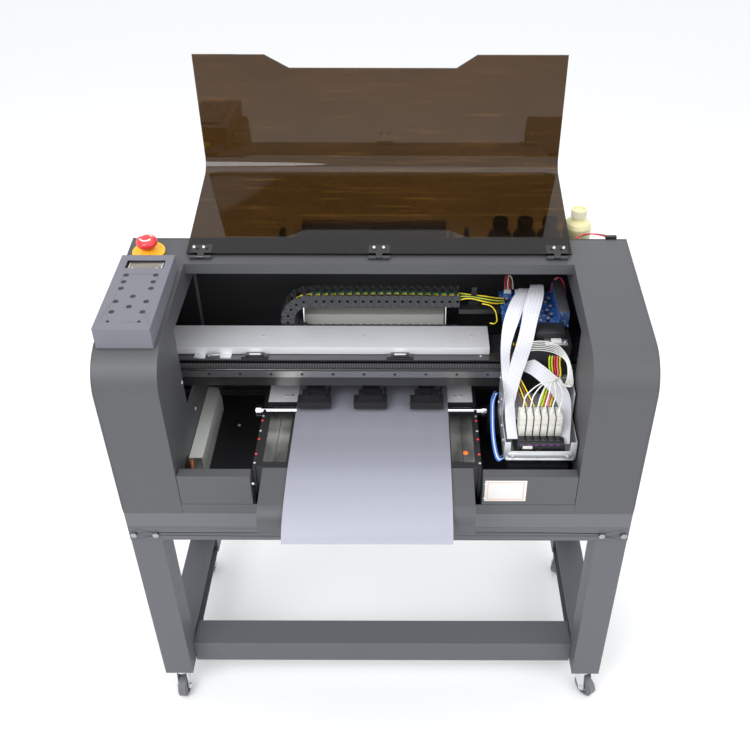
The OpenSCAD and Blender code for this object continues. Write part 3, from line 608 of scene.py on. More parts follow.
class Bench:
    """Modelling operations. Places are in the machine's millimetres, and meshes end in the frame."""

    @staticmethod
    def pick(*pieces: Piece) -> Piece:
        """Selects pieces alone, and makes the first one active."""
        if bpy.context.object and bpy.context.object.mode != "OBJECT":
            bpy.ops.object.mode_set(mode="OBJECT")
        bpy.ops.object.select_all(action="DESELECT")
        for piece in pieces:
            piece.select_set(True)
        bpy.context.view_layer.objects.active = pieces[0]
        return pieces[0]

    @classmethod
    def settle(cls, name: str, finish: Optional[Finish] = None, angle: float = 35.0) -> Piece:
        """Names the active piece, puts its place in its mesh and shades it.

        Args:
            name: its name.
            finish: its finish.
            angle: the angle in degrees over which an edge stays sharp.

        Returns:
            The piece.
        """
        piece = cls.pick(bpy.context.object)
        bpy.ops.object.transform_apply(location=True, rotation=True, scale=True)
        bpy.ops.object.shade_smooth_by_angle(angle=math.radians(angle))
        piece.name = name
        if finish:
            piece.data.materials.clear()
            piece.data.materials.append(finish.material())
        return piece

    @classmethod
    def soften(cls, width: float) -> None:
        """Bevels the active piece's sharp edges, in edit mode.

        Args:
            width: the bevel's width in metres.
        """
        bpy.ops.object.mode_set(mode="EDIT")
        bpy.ops.mesh.select_mode(type="EDGE")
        bpy.ops.mesh.select_all(action="DESELECT")
        bpy.ops.mesh.edges_select_sharp(sharpness=math.radians(SHARP))
        bpy.ops.mesh.bevel(offset=width, segments=2, affect="EDGES")
        bpy.ops.object.mode_set(mode="OBJECT")

    @classmethod
    def block(cls, name: str, low: Place, high: Place, finish: Finish, edge: float = 0.6) -> Piece:
        """A block with softened edges.

        Args:
            name: its name.
            low: its lowest corner.
            high: its highest corner.
            finish: its finish.
            edge: the width of its bevels.

        Returns:
            The block.
        """
        a, b = Plan.at(*low), Plan.at(*high)
        bpy.ops.object.select_all(action="DESELECT")
        bpy.ops.mesh.primitive_cube_add(size=1, location=(a + b) / 2)
        bpy.context.object.scale = b - a
        bpy.ops.object.transform_apply(location=False, rotation=False, scale=True)
        if edge:
            cls.soften(min(edge * MM, 0.4 * min(b - a)))
        return cls.settle(name, finish)

    @classmethod
    def rod(cls, name: str, start: Place, end: Place, radius: float, finish: Finish, sides: int = 24,
            edge: float = 0.4) -> Piece:
        """A round rod or disc between two places.

        Args:
            name: its name.
            start: the middle of one end.
            end: the middle of the other end.
            radius: its radius.
            finish: its finish.
            sides: the number of its sides.
            edge: the width of the bevels round its ends.

        Returns:
            The rod.
        """
        a, b = Plan.at(*start), Plan.at(*end)
        turn = (b - a).to_track_quat("Z", "Y").to_euler()
        bpy.ops.object.select_all(action="DESELECT")
        bpy.ops.mesh.primitive_cylinder_add(vertices=sides, radius=radius * MM, depth=(b - a).length,
                                            location=(a + b) / 2, rotation=turn)
        if edge:
            cls.soften(min(edge * MM, 0.4 * (b - a).length))
        return cls.settle(name, finish)

    @classmethod
    def tube(cls, name: str, route: Sequence[Place], radius: float, finish: Finish, steps: int = 5,
             sides: int = 2) -> Piece:
        """A round wire or tube on a smooth line through places.

        Args:
            name: its name.
            route: the places.
            radius: its radius.
            finish: its finish.
            steps: the stretches between two places.
            sides: the curve's bevel resolution.

        Returns:
            The tube as a mesh.
        """
        line = bpy.data.curves.new(name, "CURVE")
        line.dimensions, line.bevel_depth, line.bevel_resolution = "3D", radius * MM, sides
        line.use_fill_caps = True
        points = smooth([Plan.at(*p) for p in route], steps)
        spline = line.splines.new("POLY")
        spline.points.add(len(points) - 1)
        for point, place in zip(spline.points, points):
            point.co = (*place, 1.0)
        piece = bpy.data.objects.new(name, line)
        bpy.context.scene.collection.objects.link(piece)
        cls.pick(piece)
        bpy.ops.object.convert(target="MESH")
        return cls.settle(name, finish, 60.0)

    @classmethod
    def strip(cls, name: str, edges: Sequence[tuple[Place, Place]], thick: float, finish: Finish,
              steps: int = 6, across: int = 4) -> Piece:
        """A flat strip laid between two edge lines.

        Args:
            name: its name.
            edges: the left and right edge places, from one end to the other.
            thick: its thickness.
            finish: its finish.
            steps: the stretches between two pairs of places.
            across: the number of faces across it.

        Returns:
            The strip, with a map that runs across and along it in metres.
        """
        left = smooth([Plan.at(*e[0]) for e in edges], steps)
        right = smooth([Plan.at(*e[1]) for e in edges], steps)
        bpy.ops.object.select_all(action="DESELECT")
        bpy.ops.mesh.primitive_grid_add(x_subdivisions=across, y_subdivisions=len(left) - 1, size=1)
        piece = bpy.context.object
        run = [0.0]
        for i in range(1, len(left)):
            run.append(run[-1] + ((left[i] + right[i]) - (left[i - 1] + right[i - 1])).length / 2)
        sheet = piece.data
        for vertex in sheet.vertices:
            share = vertex.co.x + 0.5
            i = round((vertex.co.y + 0.5) * (len(left) - 1))
            vertex.co = left[i].lerp(right[i], share)
        for corner in sheet.uv_layers.active.data:
            i = round(corner.uv.y * (len(left) - 1))
            corner.uv = (corner.uv.x, run[i])
        solid = piece.modifiers.new("thickness", "SOLIDIFY")
        solid.thickness, solid.offset = thick * MM, 0.0
        bpy.ops.object.modifier_apply(modifier=solid.name)
        return cls.settle(name, finish, 60.0)

    @classmethod
    def join(cls, name: str, pieces: Sequence[Piece]) -> Piece:
        """Makes one mesh of several pieces.

        Args:
            name: the mesh's name.
            pieces: the pieces.

        Returns:
            The joined piece.
        """
        piece = cls.pick(*pieces)
        if len(pieces) > 1:
            bpy.ops.object.join()
        piece.name = name
        return piece

    @classmethod
    def scatter(cls, name: str, master: Piece, places: Sequence[tuple[Place, Triple]]) -> Piece:
        """Sets copies of a part down, turned so that its Z looks along a direction, as one mesh.

        Args:
            name: the mesh's name.
            master: the part, made at the frame's origin.
            places: where each copy goes, and the direction that it looks in.

        Returns:
            The copies as one piece.
        """
        copies = []
        for place, way in places:
            copy = bpy.data.objects.new(name, master.data.copy())
            bpy.context.scene.collection.objects.link(copy)
            turn = Vector(way).to_track_quat("Z", "Y").to_matrix().to_4x4()
            copy.data.transform(Matrix.Translation(Plan.at(*place)) @ turn)
            copies.append(copy)
        bpy.data.objects.remove(master)
        return cls.join(name, copies)


def home(x: float, y: float, z: float) -> Place:
    """The place in the machine's millimetres that lies that far from the frame's origin."""
    return (x, y - Plan.front / MM, z)


def screw(radius: float, height: float, finish: Finish, socket: bool = True) -> Piece:
    """A screw head at the frame's origin, looking up, with a crowned edge and a hex socket.

    Args:
        radius: the head's radius.
        height: the head's height.
        finish: its finish.
        socket: True for a sunk hex, False for a plain head.

    Returns:
        The screw head.
    """
    head = Bench.rod("screw", home(0, 0, 0), home(0, 0, height), radius, finish, 18, 0.35 * height)
    if socket:
        Bench.pick(head)
        bpy.ops.object.mode_set(mode="EDIT")
        bpy.ops.mesh.select_mode(type="FACE")
        bpy.ops.mesh.select_all(action="DESELECT")
        bpy.ops.object.mode_set(mode="OBJECT")
        for face in head.data.polygons:
            face.select = face.normal.z > 0.99 and face.center.z > 0.99 * height * MM
        bpy.ops.object.mode_set(mode="EDIT")
        bpy.ops.mesh.inset(thickness=0.5 * radius * MM)
        bpy.ops.mesh.extrude_region_move(TRANSFORM_OT_translate={"value": (0, 0, -0.55 * height * MM)})
        bpy.ops.object.mode_set(mode="OBJECT")
        Bench.settle("screw", None, 40.0)
    return head


def fit(piece: Piece, body: str, slot: str, *stands_for: str) -> Piece:
    """Makes a finished piece ride on a body and hides the nodes that it stands for.

    Args:
        piece: the piece.
        body: the body that it rides on.
        slot: the record's material slot; not used.
        *stands_for: nodes that it replaces.

    Returns:
        The piece.
    """
    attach(piece, body)
    if stands_for:
        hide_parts(*stands_for)
    log.info("%s rides on %s", piece.name, body)
    return piece


# ---- the machine ---------------------------------------------------------------------------


@dataclass
class Studio:
    """Camera, floor and soft lights.

    Attributes:
        eye: the camera's place in the machine's millimetres.
        down: how far it looks down, in degrees.
        roll: its roll, in degrees.
        lens: its focal length in millimetres on a 36 mm sensor.
        shift: its shift across and up.
    """

    eye: Place = (53.71, -1224.27, 1880.75)
    down: float = 37.5946
    roll: float = 0.1258
    lens: float = 44.68
    shift: tuple[float, float] = (-0.0429, -0.0064)

    def camera(self) -> None:
        """Sets the camera."""
        data = bpy.data.cameras.new("view")
        data.lens, data.sensor_width = self.lens, 36.0
        data.shift_x, data.shift_y = self.shift
        eye = bpy.data.objects.new("view", data)
        bpy.context.scene.collection.objects.link(eye)
        eye.location = Plan.at(*self.eye)
        tilt = Matrix.Rotation(math.radians(90 - self.down), 3, "X") @ Matrix.Rotation(
            math.radians(self.roll), 3, "Z")
        eye.rotation_euler = tilt.to_euler()
        bpy.context.scene.camera = eye

    def lamp(self, name: str, place: Place, target: Place, size: float, power: float) -> None:
        """Adds one soft lamp.

        Args:
            name: its name.
            place: where it hangs.
            target: what it points at.
            size: its width in metres.
            power: its power in watts.
        """
        data = bpy.data.lights.new(name, "AREA")
        data.shape, data.size, data.energy = "DISK", size, power
        lamp = bpy.data.objects.new(name, data)
        bpy.context.scene.collection.objects.link(lamp)
        lamp.location = Plan.at(*place)
        way = Plan.at(*target) - lamp.location
        lamp.rotation_euler = way.to_track_quat("-Z", "Y").to_euler()

    def build(self) -> None:
        """Makes the floor, the sky and the lamps."""
        self.camera()
        bpy.ops.object.select_all(action="DESELECT")
        bpy.ops.mesh.primitive_plane_add(size=30, location=(0, 0, -0.0005))
        floor = Bench.settle("floor", Finish("floor", (0.97, 0.97, 0.97), 0.95, mottle=0.005))
        world = bpy.data.worlds.new("sky")
        bpy.context.scene.world = world
        world.use_nodes = True
        sky = world.node_tree.nodes["Background"]
        sky.inputs[0].default_value = (0.97, 0.985, 1.0, 1.0)
        sky.inputs[1].default_value = 0.97
        self.lamp("key", (-1100, -1500, 2600), (0, 150, 700), 1.6, 34)
        self.lamp("fill", (1500, -1300, 1900), (0, 150, 700), 1.8, 14)
        self.lamp("top", (0, 300, 2900), (0, 200, 700), 2.2, 12)
        self.lamp("back", (300, 2600, 2000), (0, 300, 900), 2.0, 12)
        bpy.context.scene.view_settings.view_transform = "Standard"


@dataclass
class Shell:
    """The carried-over solids: their finishes, and soft edges on the sheet metal.

    Attributes:
        edge: the width of the soft edges.
        softened: the nodes that get them.
    """

    edge: float = 0.0009
    softened: tuple[str, ...] = (
        "stand_left_frame", "stand_right_frame", "stand_beams", "base_tray", "front_panels", "end_covers",
        "keypad_box", "beam_cover", "carriage_box", "print_heads", "pinch_arms", "platen_table",
        "cap_station", "dampers", "motors", "carriage_frame", "roll_supports", "estop_collar")
    special: tuple[tuple[str, Finish], ...] = (
        ("platen_plates", EDGE_PLATES), ("cap_station", CHIP), ("beam_cover", COVER_ALU),
        ("gantry_beam", BEAM_GLOSS), ("rear_cover", REAR_WALL), ("hinge_straps", GLOSS_BLACK),
        ("stand_bolts", BOLT_ZINC), ("base_tray", TRAY_COAT), ("linear_rail", RAIL_STEEL))

    def dress(self, frame: dict) -> None:
        """Gives every node its finish and the sheet-metal ones their soft edges.
        """
        slots = {part["node"]: part["material_slot"] for part in frame["record"]["subparts"]}
        special = dict(self.special)
        for name, node in frame["nodes"].items():
            node.data.materials.clear()
            node.data.materials.append(special.get(name, FINISHES[slots[name]]).material())
            if name in self.softened:
                weld = node.modifiers.new("weld", "WELD")
                weld.merge_threshold = 0.00001
                bevel = node.modifiers.new("edges", "BEVEL")
                bevel.width, bevel.segments, bevel.limit_method = self.edge, 2, "ANGLE"
                bevel.angle_limit, bevel.harden_normals = math.radians(SHARP), True
                bevel.use_clamp_overlap = True


@dataclass
class FilmWeb:
    """The film, from the supply roll through the body to its free edge.

    Attributes:
        middle: the X of its middle.
        width: its width.
        route: its path, as Y and Z.
    """

    middle: float = -15.5
    width: float = 301.0
    route: tuple[tuple[float, float], ...] = (
        (454, 893), (450, 850), (448, 820), (426, 772), (400, 736), (350, 703), (296, 692.45), (150, 692.45),
        (28, 692.45), (-20, 688.2), (-54, 683.7), (-90, 674), (-112, 662), (-123.8, 650))

    def build(self) -> None:
        x0, x1 = self.middle - self.width / 2, self.middle + self.width / 2
        edges = [((x0, y, z), (x1, y, z)) for y, z in self.route]
        film = Bench.strip("film_web", edges, 0.4, FINISHES["film"], 4, 8)
        line = smooth([Plan.at(0, y, z) for y, z in self.route], 4)
        length = sum((b - a).length for a, b in zip(line, line[1:]))
        fit(film, "root", "film", "film")


@dataclass
class Gantry:
    """Small parts of the beam: rail screws, belt teeth, clips, end block and brackets.

    Attributes:
        pitch: the distance of the rail's screws.
        tooth: the pitch of the belt's teeth.
        half: half the belt's straight run.
    """

    pitch: float = 60.0
    tooth: float = 5.0
    half: float = 412.0

    def screws(self) -> None:
        """Sinks the rail's screws, black to paint the shade in their counterbores, and sets the ones on the
        covers.
        """
        steel = FINISHES["bright_steel"]
        places = [((x, 202.2, 773.5), (0, -1, 0)) for x in range(-390, 391, int(self.pitch))]
        # Painted shade: the rail's screw heads are black so that they show as the dark shade in their
        # counterbores.
        fit(Bench.scatter("rail_screws_painted_shade", screw(2.8, 1.9, FINISHES["black_plastic"]), places), "root",
            "black_plastic")
        places = [((x, 219, 803.5), (0, 0, 1)) for x in (-352, -330, -300, -292, 196)]
        places += [((x, 262, 820), (0, 0, 1)) for x in (-228, -30, 180)]
        fit(Bench.scatter("beam_screws", screw(2.3, 1.3, steel), places), "root", "bright_steel")

    def belt(self) -> None:
        """Sets the teeth along the belt's front run."""
        master = Bench.block("tooth", home(-1.3, -0.5, -5.2), home(1.3, 0.7, 5.2), BELT_TOOTH, 0.3)
        count = int(2 * self.half / self.tooth)
        places = [((-self.half + i * self.tooth, 201.9, 792.5), (0, 0, 1)) for i in range(count + 1)]
        fit(Bench.scatter("belt_teeth", master, places), "root", "rubber")

    def fittings(self) -> None:
        """Makes the clips, the cream block and the steel brackets at the left."""
        clips = []
        for x in (-240, 40):
            clips.append(Bench.block("clip", (x - 26, 209, 803.4), (x + 26, 229, 806), GLOSS_BLACK, 0.8))
            clips.append(Bench.block("clip", (x - 18, 212, 805.8), (x + 18, 226, 809), GLOSS_BLACK, 1.0))
            clips.append(Bench.block("clip", (x - 11, 215, 808.8), (x + 11, 220, 809.6),
                                     FINISHES["bright_steel"], 0.2))
        fit(Bench.join("strip_clips", clips), "root", "black_plastic")
        cream = [Bench.block("cream", (-428, 236, 801), (-411, 262, 822), Shades.CREAM.finish(), 1.5),
                 Bench.rod("cream", (-420, 240, 822), (-420, 240, 824.5), 4, Shades.CREAM.finish(), 16)]
        fit(Bench.join("end_block", cream), "root", "white_plastic")
        steel = FINISHES["bright_steel"]
        plates = [Bench.block("plate", (x - 11, 210, 803.4), (x + 11, 228, 805), steel, 0.5)
                  for x in (-347, -297)]
        plates.append(Bench.tube("plate", [(-336, 220, 806), (-330, 216, 808), (-314, 216, 808),
                                           (-308, 220, 806)], 1.2, steel))
        fit(Bench.join("strip_plates", plates), "root", "bright_steel")

    def build(self) -> None:
        """Makes all of the beam's small parts."""
        self.screws()
        self.belt()
        self.fittings()


@dataclass
class CableChain:
    """The cable chain: links of two side plates and two bars, with wires inside.

    Attributes:
        pitch: the length of a link.
        count: the links of each straight run.
        start: the X of the runs' left ends.
        near: the Y of the front side.
        far: the Y of the back side.
        tall: the links' height.
        radius: the outer radius of the bend.
        top: the Z of the upper run's top.
    """

    pitch: float = 15.4
    count: int = 19
    start: float = -137.0
    near: float = 301.0
    far: float = 339.0
    tall: float = 27.0
    radius: float = 60.0
    top: float = 889.0

    def link(self, flip: float) -> Piece:
        """One link at the frame's origin, with its length along X.

        Args:
            flip: 1 if its open side looks up, -1 if it looks down.

        Returns:
            The link.
        """
        dark, half, wide = FINISHES["dark_plastic"], self.pitch / 2, (self.far - self.near) / 2
        parts = []
        for side in (-1, 1):
            for x0, x1, out in ((-half - 1.2, 2.0, 0.0), (-1.5, half + 1.0, 1.0)):
                y = side * (wide - out)
                low, high = sorted((y, y - side * 2))
                rim = self.tall / 2 - 1.5 * out
                parts.append(Bench.block("cheek", home(x0, low, -rim), home(x1, high, rim), dark, 0.9))
            pin, x = side * wide, -half + 3.5
            parts.append(Bench.rod("pin", home(x, pin - side * 2, 0), home(x, pin, 0), 3.2, dark, 12, 0.4))
        inner = wide - 2
        tall = self.tall / 2 - 0.6
        for x0, x1, level in ((-3.2, 3.2, flip * tall), (-5.5, 5.5, -flip * tall)):
            parts.append(Bench.block("bar", home(x0, -inner, level - 1.2), home(x1, inner, level + 1.2),
                                     dark, 0.8))
        return Bench.join("link", parts)

    def straight(self, name: str, level: float, flip: float) -> Piece:
        """One straight run of links with its wires.

        Args:
            name: its name.
            level: the Z of its middle.
            flip: 1 if the open side looks up, -1 if it looks down.

        Returns:
            The run.
        """
        middle = (self.near + self.far) / 2
        places = [((self.start + (i + 0.5) * self.pitch, middle, level), (0, 0, 1))
                  for i in range(self.count)]
        run = Bench.scatter(name, self.link(flip), places)
        end = self.start + self.count * self.pitch
        colours = (Shades.YELLOW, Shades.BLACK, Shades.YELLOW, Shades.GREEN, Shades.BLACK)
        wires = [run]
        for i, shade in enumerate(colours):
            y = self.near + 8 + i * 5.4
            route = [(self.start, y, level + 3), ((self.start + end) / 2, y + 2, level + 5),
                     (end - 0.2, y, level + 3)]
            wires.append(Bench.tube("wire", route, 1.7, shade.finish(), 10, 1))
        return Bench.join(name, wires)

    def bend(self) -> Piece:
        """The half circle of links at the left, with its wires."""
        middle, centre = (self.near + self.far) / 2, self.top - self.radius
        reach = self.radius - self.tall / 2
        number = 9
        links, master = [], self.link(1)
        for i in range(number):
            angle = math.pi * (i + 0.5) / number
            turn = Matrix.Rotation(-angle, 4, "Y")
            x, z = -reach * math.sin(angle), reach * math.cos(angle)
            copy = bpy.data.objects.new("link", master.data.copy())
            bpy.context.scene.collection.objects.link(copy)
            copy.data.transform(Matrix.Translation(Plan.at(self.start + x - 0.3, middle, centre + z)) @ turn)
            links.append(copy)
        bpy.data.objects.remove(master)
        for i, shade in enumerate((Shades.YELLOW, Shades.BLACK, Shades.YELLOW)):
            route = []
            for j in range(9):
                angle = math.pi * j / 8
                route.append((self.start - 0.3 - (reach + 3) * math.sin(angle), self.near + 8 + i * 7,
                              centre + (reach + 3) * math.cos(angle)))
            links.append(Bench.tube("wire", route, 1.7, shade.finish(), 3, 1))
        return Bench.join("chain_bend_links", links)

    def build(self) -> None:
        """Makes the chain: the upper run, the lower run and the bend."""
        end = self.start + self.count * self.pitch
        upper = self.straight("chain_upper_links", self.top - self.tall / 2, 1)
        fit(upper, "carriage", "dark_plastic", "chain_upper")
        middle = (self.near + self.far) / 2
        Plan.at(end, middle, self.top)
        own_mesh(upper)
        lower = self.straight("chain_lower_links", self.top - 2 * self.radius + self.tall / 2, -1)
        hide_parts("chain_lower")
        Plan.at(end, middle, 780)
        Plan.at(self.start, middle, 780)
        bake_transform(lower)
        fit(self.bend(), "chain_bend", "dark_plastic", "chain_loop")


@dataclass
class Carriage:
    """What dresses the carriage: flat cables, tubes, wires, dampers, boards and brackets.

    Attributes:
        first: the X of the first damper's left side.
        pitch: the distance of two dampers.
        count: the number of dampers.
    """

    first: float = 259.0
    pitch: float = 13.4
    count: int = 6

    def flat_cables(self) -> None:
        """Lays the three flat cables."""
        white = FINISHES["ribbon"]
        first = [((276, 350, 869), (297, 350, 869)), ((274, 334, 886), (298, 334, 885)),
                 ((266, 305, 895), (296, 307, 894)), ((252, 270, 898), (284, 272, 896)),
                 ((241, 236, 897), (272, 240, 895)), ((233, 208, 889), (262, 212, 888)),
                 ((229, 187, 874), (253, 191, 876)), ((228, 171, 848), (246, 176, 850)),
                 ((231, 159, 812), (247, 163, 813)), ((236, 122, 770), (254, 124, 770)),
                 ((237, 84, 746), (256, 84, 746)), ((238, 54, 738), (257, 54, 738))]
        second = [((300, 352, 872), (322, 352, 872)), ((297, 336, 893), (322, 338, 892)),
                  ((289, 300, 901), (319, 304, 898)), ((281, 268, 904), (314, 274, 900)),
                  ((273, 240, 902), (307, 246, 898)), ((268, 212, 896), (299, 218, 894)),
                  ((262, 190, 880), (293, 196, 886)), ((255, 176, 856), (287, 180, 862)),
                  ((247, 166, 826), (279, 170, 834)), ((239, 146, 792), (266, 150, 798)),
                  ((237, 118, 760), (255, 120, 762)), ((238, 92, 742), (254, 92, 743))]
        third = [((262, 178, 806), (272, 192, 830)),
                 ((284, 170, 800), (297, 182, 822)), ((296, 158, 798), (312, 172, 816)),
                 ((312, 144, 790), (330, 160, 806)), ((326, 130, 780), (346, 146, 796)),
                 ((336, 112, 768), (357, 126, 784)), ((338, 92, 756), (359, 100, 764)),
                 ((338, 72, 740), (356, 74, 742)), ((338, 56, 724), (354, 56, 724))]
        cables = [Bench.strip("cable", edges, 1.1, white, 6, 4) for edges in (first, second, third)]
        fit(Bench.join("flat_cables", cables), "carriage", "ribbon", "ribbon_cables")

    def tubes(self) -> None:
        """Leads the ink tubes from the dampers to the right and up behind the box."""
        clear, parts = Shades.WHITE.finish(), []
        for i in range(self.count):
            x = self.first + self.pitch * i + 6
            end = (336 - i * 2.2, 134 - i * 1.2, 818 - i * 1.5)
            parts.append(Bench.tube("tube", [(x, 78, 788), (x + 1, 80, 798), (x + 6, 90, 812),
                                             (x + (330 - x) * 0.5, 112, 821), end], 1.25, clear, 5, 1))
            reach = 4.6 * i
            parts.append(Bench.tube("tube", [end, (346 + reach * 0.5, 128 - i, 806),
                                             (352 + reach * 0.35, 140, 822),
                                             (350 + reach * 0.15, 160, 836 + reach * 0.3),
                                             (334 + reach * 0.1, 176, 842 + reach * 0.75),
                                             (306, 182, 846 + reach * 0.9), (276, 180, 846 + reach * 0.8)],
                                    1.05, clear, 5, 1))
            parts.append(Bench.rod("collar", (x, 78, 782), (x, 78, 790), 3.3, clear, 14))
        fit(Bench.join("ink_tubes", parts), "carriage", "white_plastic")

    def damper_details(self) -> None:
        """Puts clear windows, ribs and black connectors on the dampers."""
        parts, milky = [], FINISHES["white_plastic"]
        for i in range(self.count):
            x = self.first + self.pitch * i
            parts.append(Bench.block("lid", (x + 1, 60.8, 742), (x + 10, 62.2, 764), milky, 0.5))
            parts.append(Bench.block("rib", (x + 1.6, 60.2, 765), (x + 9.4, 61.6, 767), milky, 0.3))
            parts.append(Bench.block("rib", (x + 1.6, 60.2, 778), (x + 9.4, 62.2, 781), milky, 0.3))
            parts.append(Bench.block("shoulder", (x + 0.6, 66, 781.5), (x + 10.4, 88, 784), milky, 0.6))
        fit(Bench.join("damper_ribs", parts), "carriage", "white_plastic")
        parts = [Bench.block("seat", (256, 44, 722), (342, 60, 738), FINISHES["black_plastic"], 0.8)]
        purple = Finish("violet_contact", (0.14, 0.03, 0.2), 0.35)
        for i in range(self.count):
            x = self.first + self.pitch * i
            parts.append(Bench.block("plug", (x, 46, 737.5), (x + 10, 58, 741.5), GLOSS_BLACK, 0.6))
            parts.append(Bench.block("pin", (x + 2, 43.4, 730), (x + 8, 44.6, 734), purple, 0.2))
        parts.append(Bench.block("tag", (266, 43.2, 722.5), (284, 44.6, 729.5), PALE_MARK, 0.2))
        fit(Bench.join("head_plugs", parts), "carriage", "black_plastic")

    def board(self) -> None:
        """Dresses the head board with plugs, chips, capacitors and the heat sink's fins."""
        alu = Finish("sink_anodised", (0.12, 0.125, 0.135), 0.4, 0.6, mottle=0.15)
        fins = [Bench.block("fin", (345 + i * 3.0, 246.4, 860), (346.3 + i * 3.0, 262, 885.4), alu, 0.2)
                for i in range(6)]
        parts = fins + [Bench.block("cap", (343.4, 248, 885.2), (363.6, 363, 887.4), alu, 0.6)]
        fit(Bench.join("sink_fins", parts), "carriage", "dark_plastic")
        seeded, parts = random.Random(7), []
        for i in range(30):
            x, y = seeded.uniform(246, 338), seeded.uniform(248, 296)
            wide, deep, tall = seeded.uniform(2, 8), seeded.uniform(2, 6), seeded.uniform(1, 3.5)
            finish = seeded.choice((CHIP, CHIP, PALE_MARK, FINISHES["bright_steel"]))
            parts.append(Bench.block("part", (x, y, 857.9), (x + wide, y + deep, 858 + tall), finish, 0.3))
        for x, y in ((326, 262), (334, 276), (327, 290), (335, 304), (327, 318), (335, 332), (252, 330)):
            parts.append(Bench.rod("can", (x, y, 858), (x, y, 866), 3.4, FINISHES["bright_steel"], 16, 0.6))
            parts.append(Bench.rod("sleeve", (x, y, 857.9), (x, y, 864), 3.7, CHIP, 16, 0.2))
        for x in (246, 268, 290, 312):
            parts.append(Bench.block("plug", (x + 1, 345, 866), (x + 15, 353, 872), PALE_MARK, 0.5))
        fit(Bench.join("board_parts", parts), "carriage", "pcb_blue")

    def wires(self) -> None:
        """Lays the loose wires: power leads, clamp, side bundle and the loops on the board."""
        run: list[Piece] = []

        def wire(shade: Shades, radius: float, *route: Place) -> None:
            """Adds one wire of a colour along places."""
            run.append(Bench.tube("wire", route, radius, shade.finish(), 6, 1))

        for i, shade in enumerate((Shades.LIME, Shades.LIME, Shades.RED, Shades.PINK, Shades.YELLOW)):
            x = 322 + 5.0 * i
            wire(shade, 1.9, (x - 4, 222, 850), (x, 200, 846), (x + 1, 188, 838), (x, 178, 818),
                 (x + 2, 168, 798), (x - 8, 150, 776), (x - 20, 120, 760))
        for i in range(4):
            wire(Shades.YELLOW if i % 2 else Shades.BROWN, 1.3, (250 + i * 3, 192, 856),
                 (252 + i * 3, 184, 840), (250 + i * 2, 172, 816), (262 + i * 5, 148, 782),
                 (272 + i * 7, 120, 760))
        for i, shade in enumerate((Shades.BLUE, Shades.WHITE, Shades.BLUE, Shades.BLUE, Shades.BLACK)):
            x, y = 216 + 2.6 * (i % 3), 40 + 3 * i
            wire(shade, 1.5, (x + 8, y + 138, 742), (x + 1, y + 120, 736), (x - 2, y + 84, 726),
                 (x - 3, y + 44, 716), (x, y + 8, 706), (x + 6, y - 4, 700), (x + 15, y + 2, 699))
        for i, shade in enumerate((Shades.RED, Shades.BLUE, Shades.RED)):
            wire(shade, 0.9, (340 + i * 2, 356, 862), (346 + i * 2, 366, 882), (356 + i * 2, 366, 892),
                 (366 + i * 0.6, 348, 884), (366 + i * 0.6, 320, 864), (362, 300, 854))
        for i, shade in enumerate((Shades.RED, Shades.BROWN, Shades.WHITE)):
            wire(shade, 0.9, (250 + i * 3, 350, 868), (249 + i * 3, 362, 884), (252 + i * 3, 370, 894),
                 (258 + i * 3, 366, 886), (260 + i * 3, 356, 870))
        for i, shade in enumerate((Shades.YELLOW, Shades.BLACK, Shades.LIME, Shades.BLACK, Shades.YELLOW)):
            wire(shade, 1.3, (156, 308 + i * 6, 876), (178, 306 + i * 5, 880 - i), (205, 304 + i * 5, 874),
                 (228, 310 + i * 5, 866), (246, 318 + i * 4, 862))
        wire(Shades.YELLOW, 1.2, (200, 300, 872), (216, 296, 870), (226, 288, 862), (228, 270, 852),
             (222, 262, 851), (214, 264, 851))
        fit(Bench.join("loose_wires", run), "carriage", "white_plastic")

    def brackets(self) -> None:
        """Makes the clamp over the wires, the front lip and the carriage's screws."""
        steel = FINISHES["bright_steel"]
        parts = [Bench.block("clamp", (312, 186.5, 852), (356, 204, 856), steel, 1.2),
                 Bench.block("clamp", (324, 188, 855.5), (344, 202, 860), PALE_MARK, 1.5),
                 Bench.block("lip", (240, 36.4, 704), (357, 39.2, 716), steel, 0.6),
                 Bench.block("lip", (236, 34.5, 701.4), (361, 39.5, 704.2), steel, 0.8)]
        fit(Bench.join("carriage_brackets", parts), "carriage", "bright_steel")
        places = [((x, 36.3, 710), (0, -1, 0)) for x in (248, 349)]
        places += [((x, 195, 856), (0, 0, 1)) for x in (317, 351)]
        places += [((231.8, y, z), (-1, 0, 0)) for y, z in ((60, 730), (96, 734), (130, 770), (170, 790),
                                                            (170, 730))]
        places += [((365.2, y, z), (1, 0, 0)) for y, z in ((60, 730), (130, 770), (170, 790))]
        fit(Bench.scatter("carriage_screws", screw(3.0, 1.8, steel), places), "carriage", "bright_steel")
        cover = Bench.block("belt_clamp_cover", (296, 203, 848), (352, 240, 870), FINISHES["black_plastic"],
                            2.5)
        fit(cover, "carriage", "black_plastic")

    def build(self) -> None:
        """Dresses the carriage."""
        self.flat_cables()
        self.tubes()
        self.damper_details()
        self.board()
        self.wires()
        self.brackets()


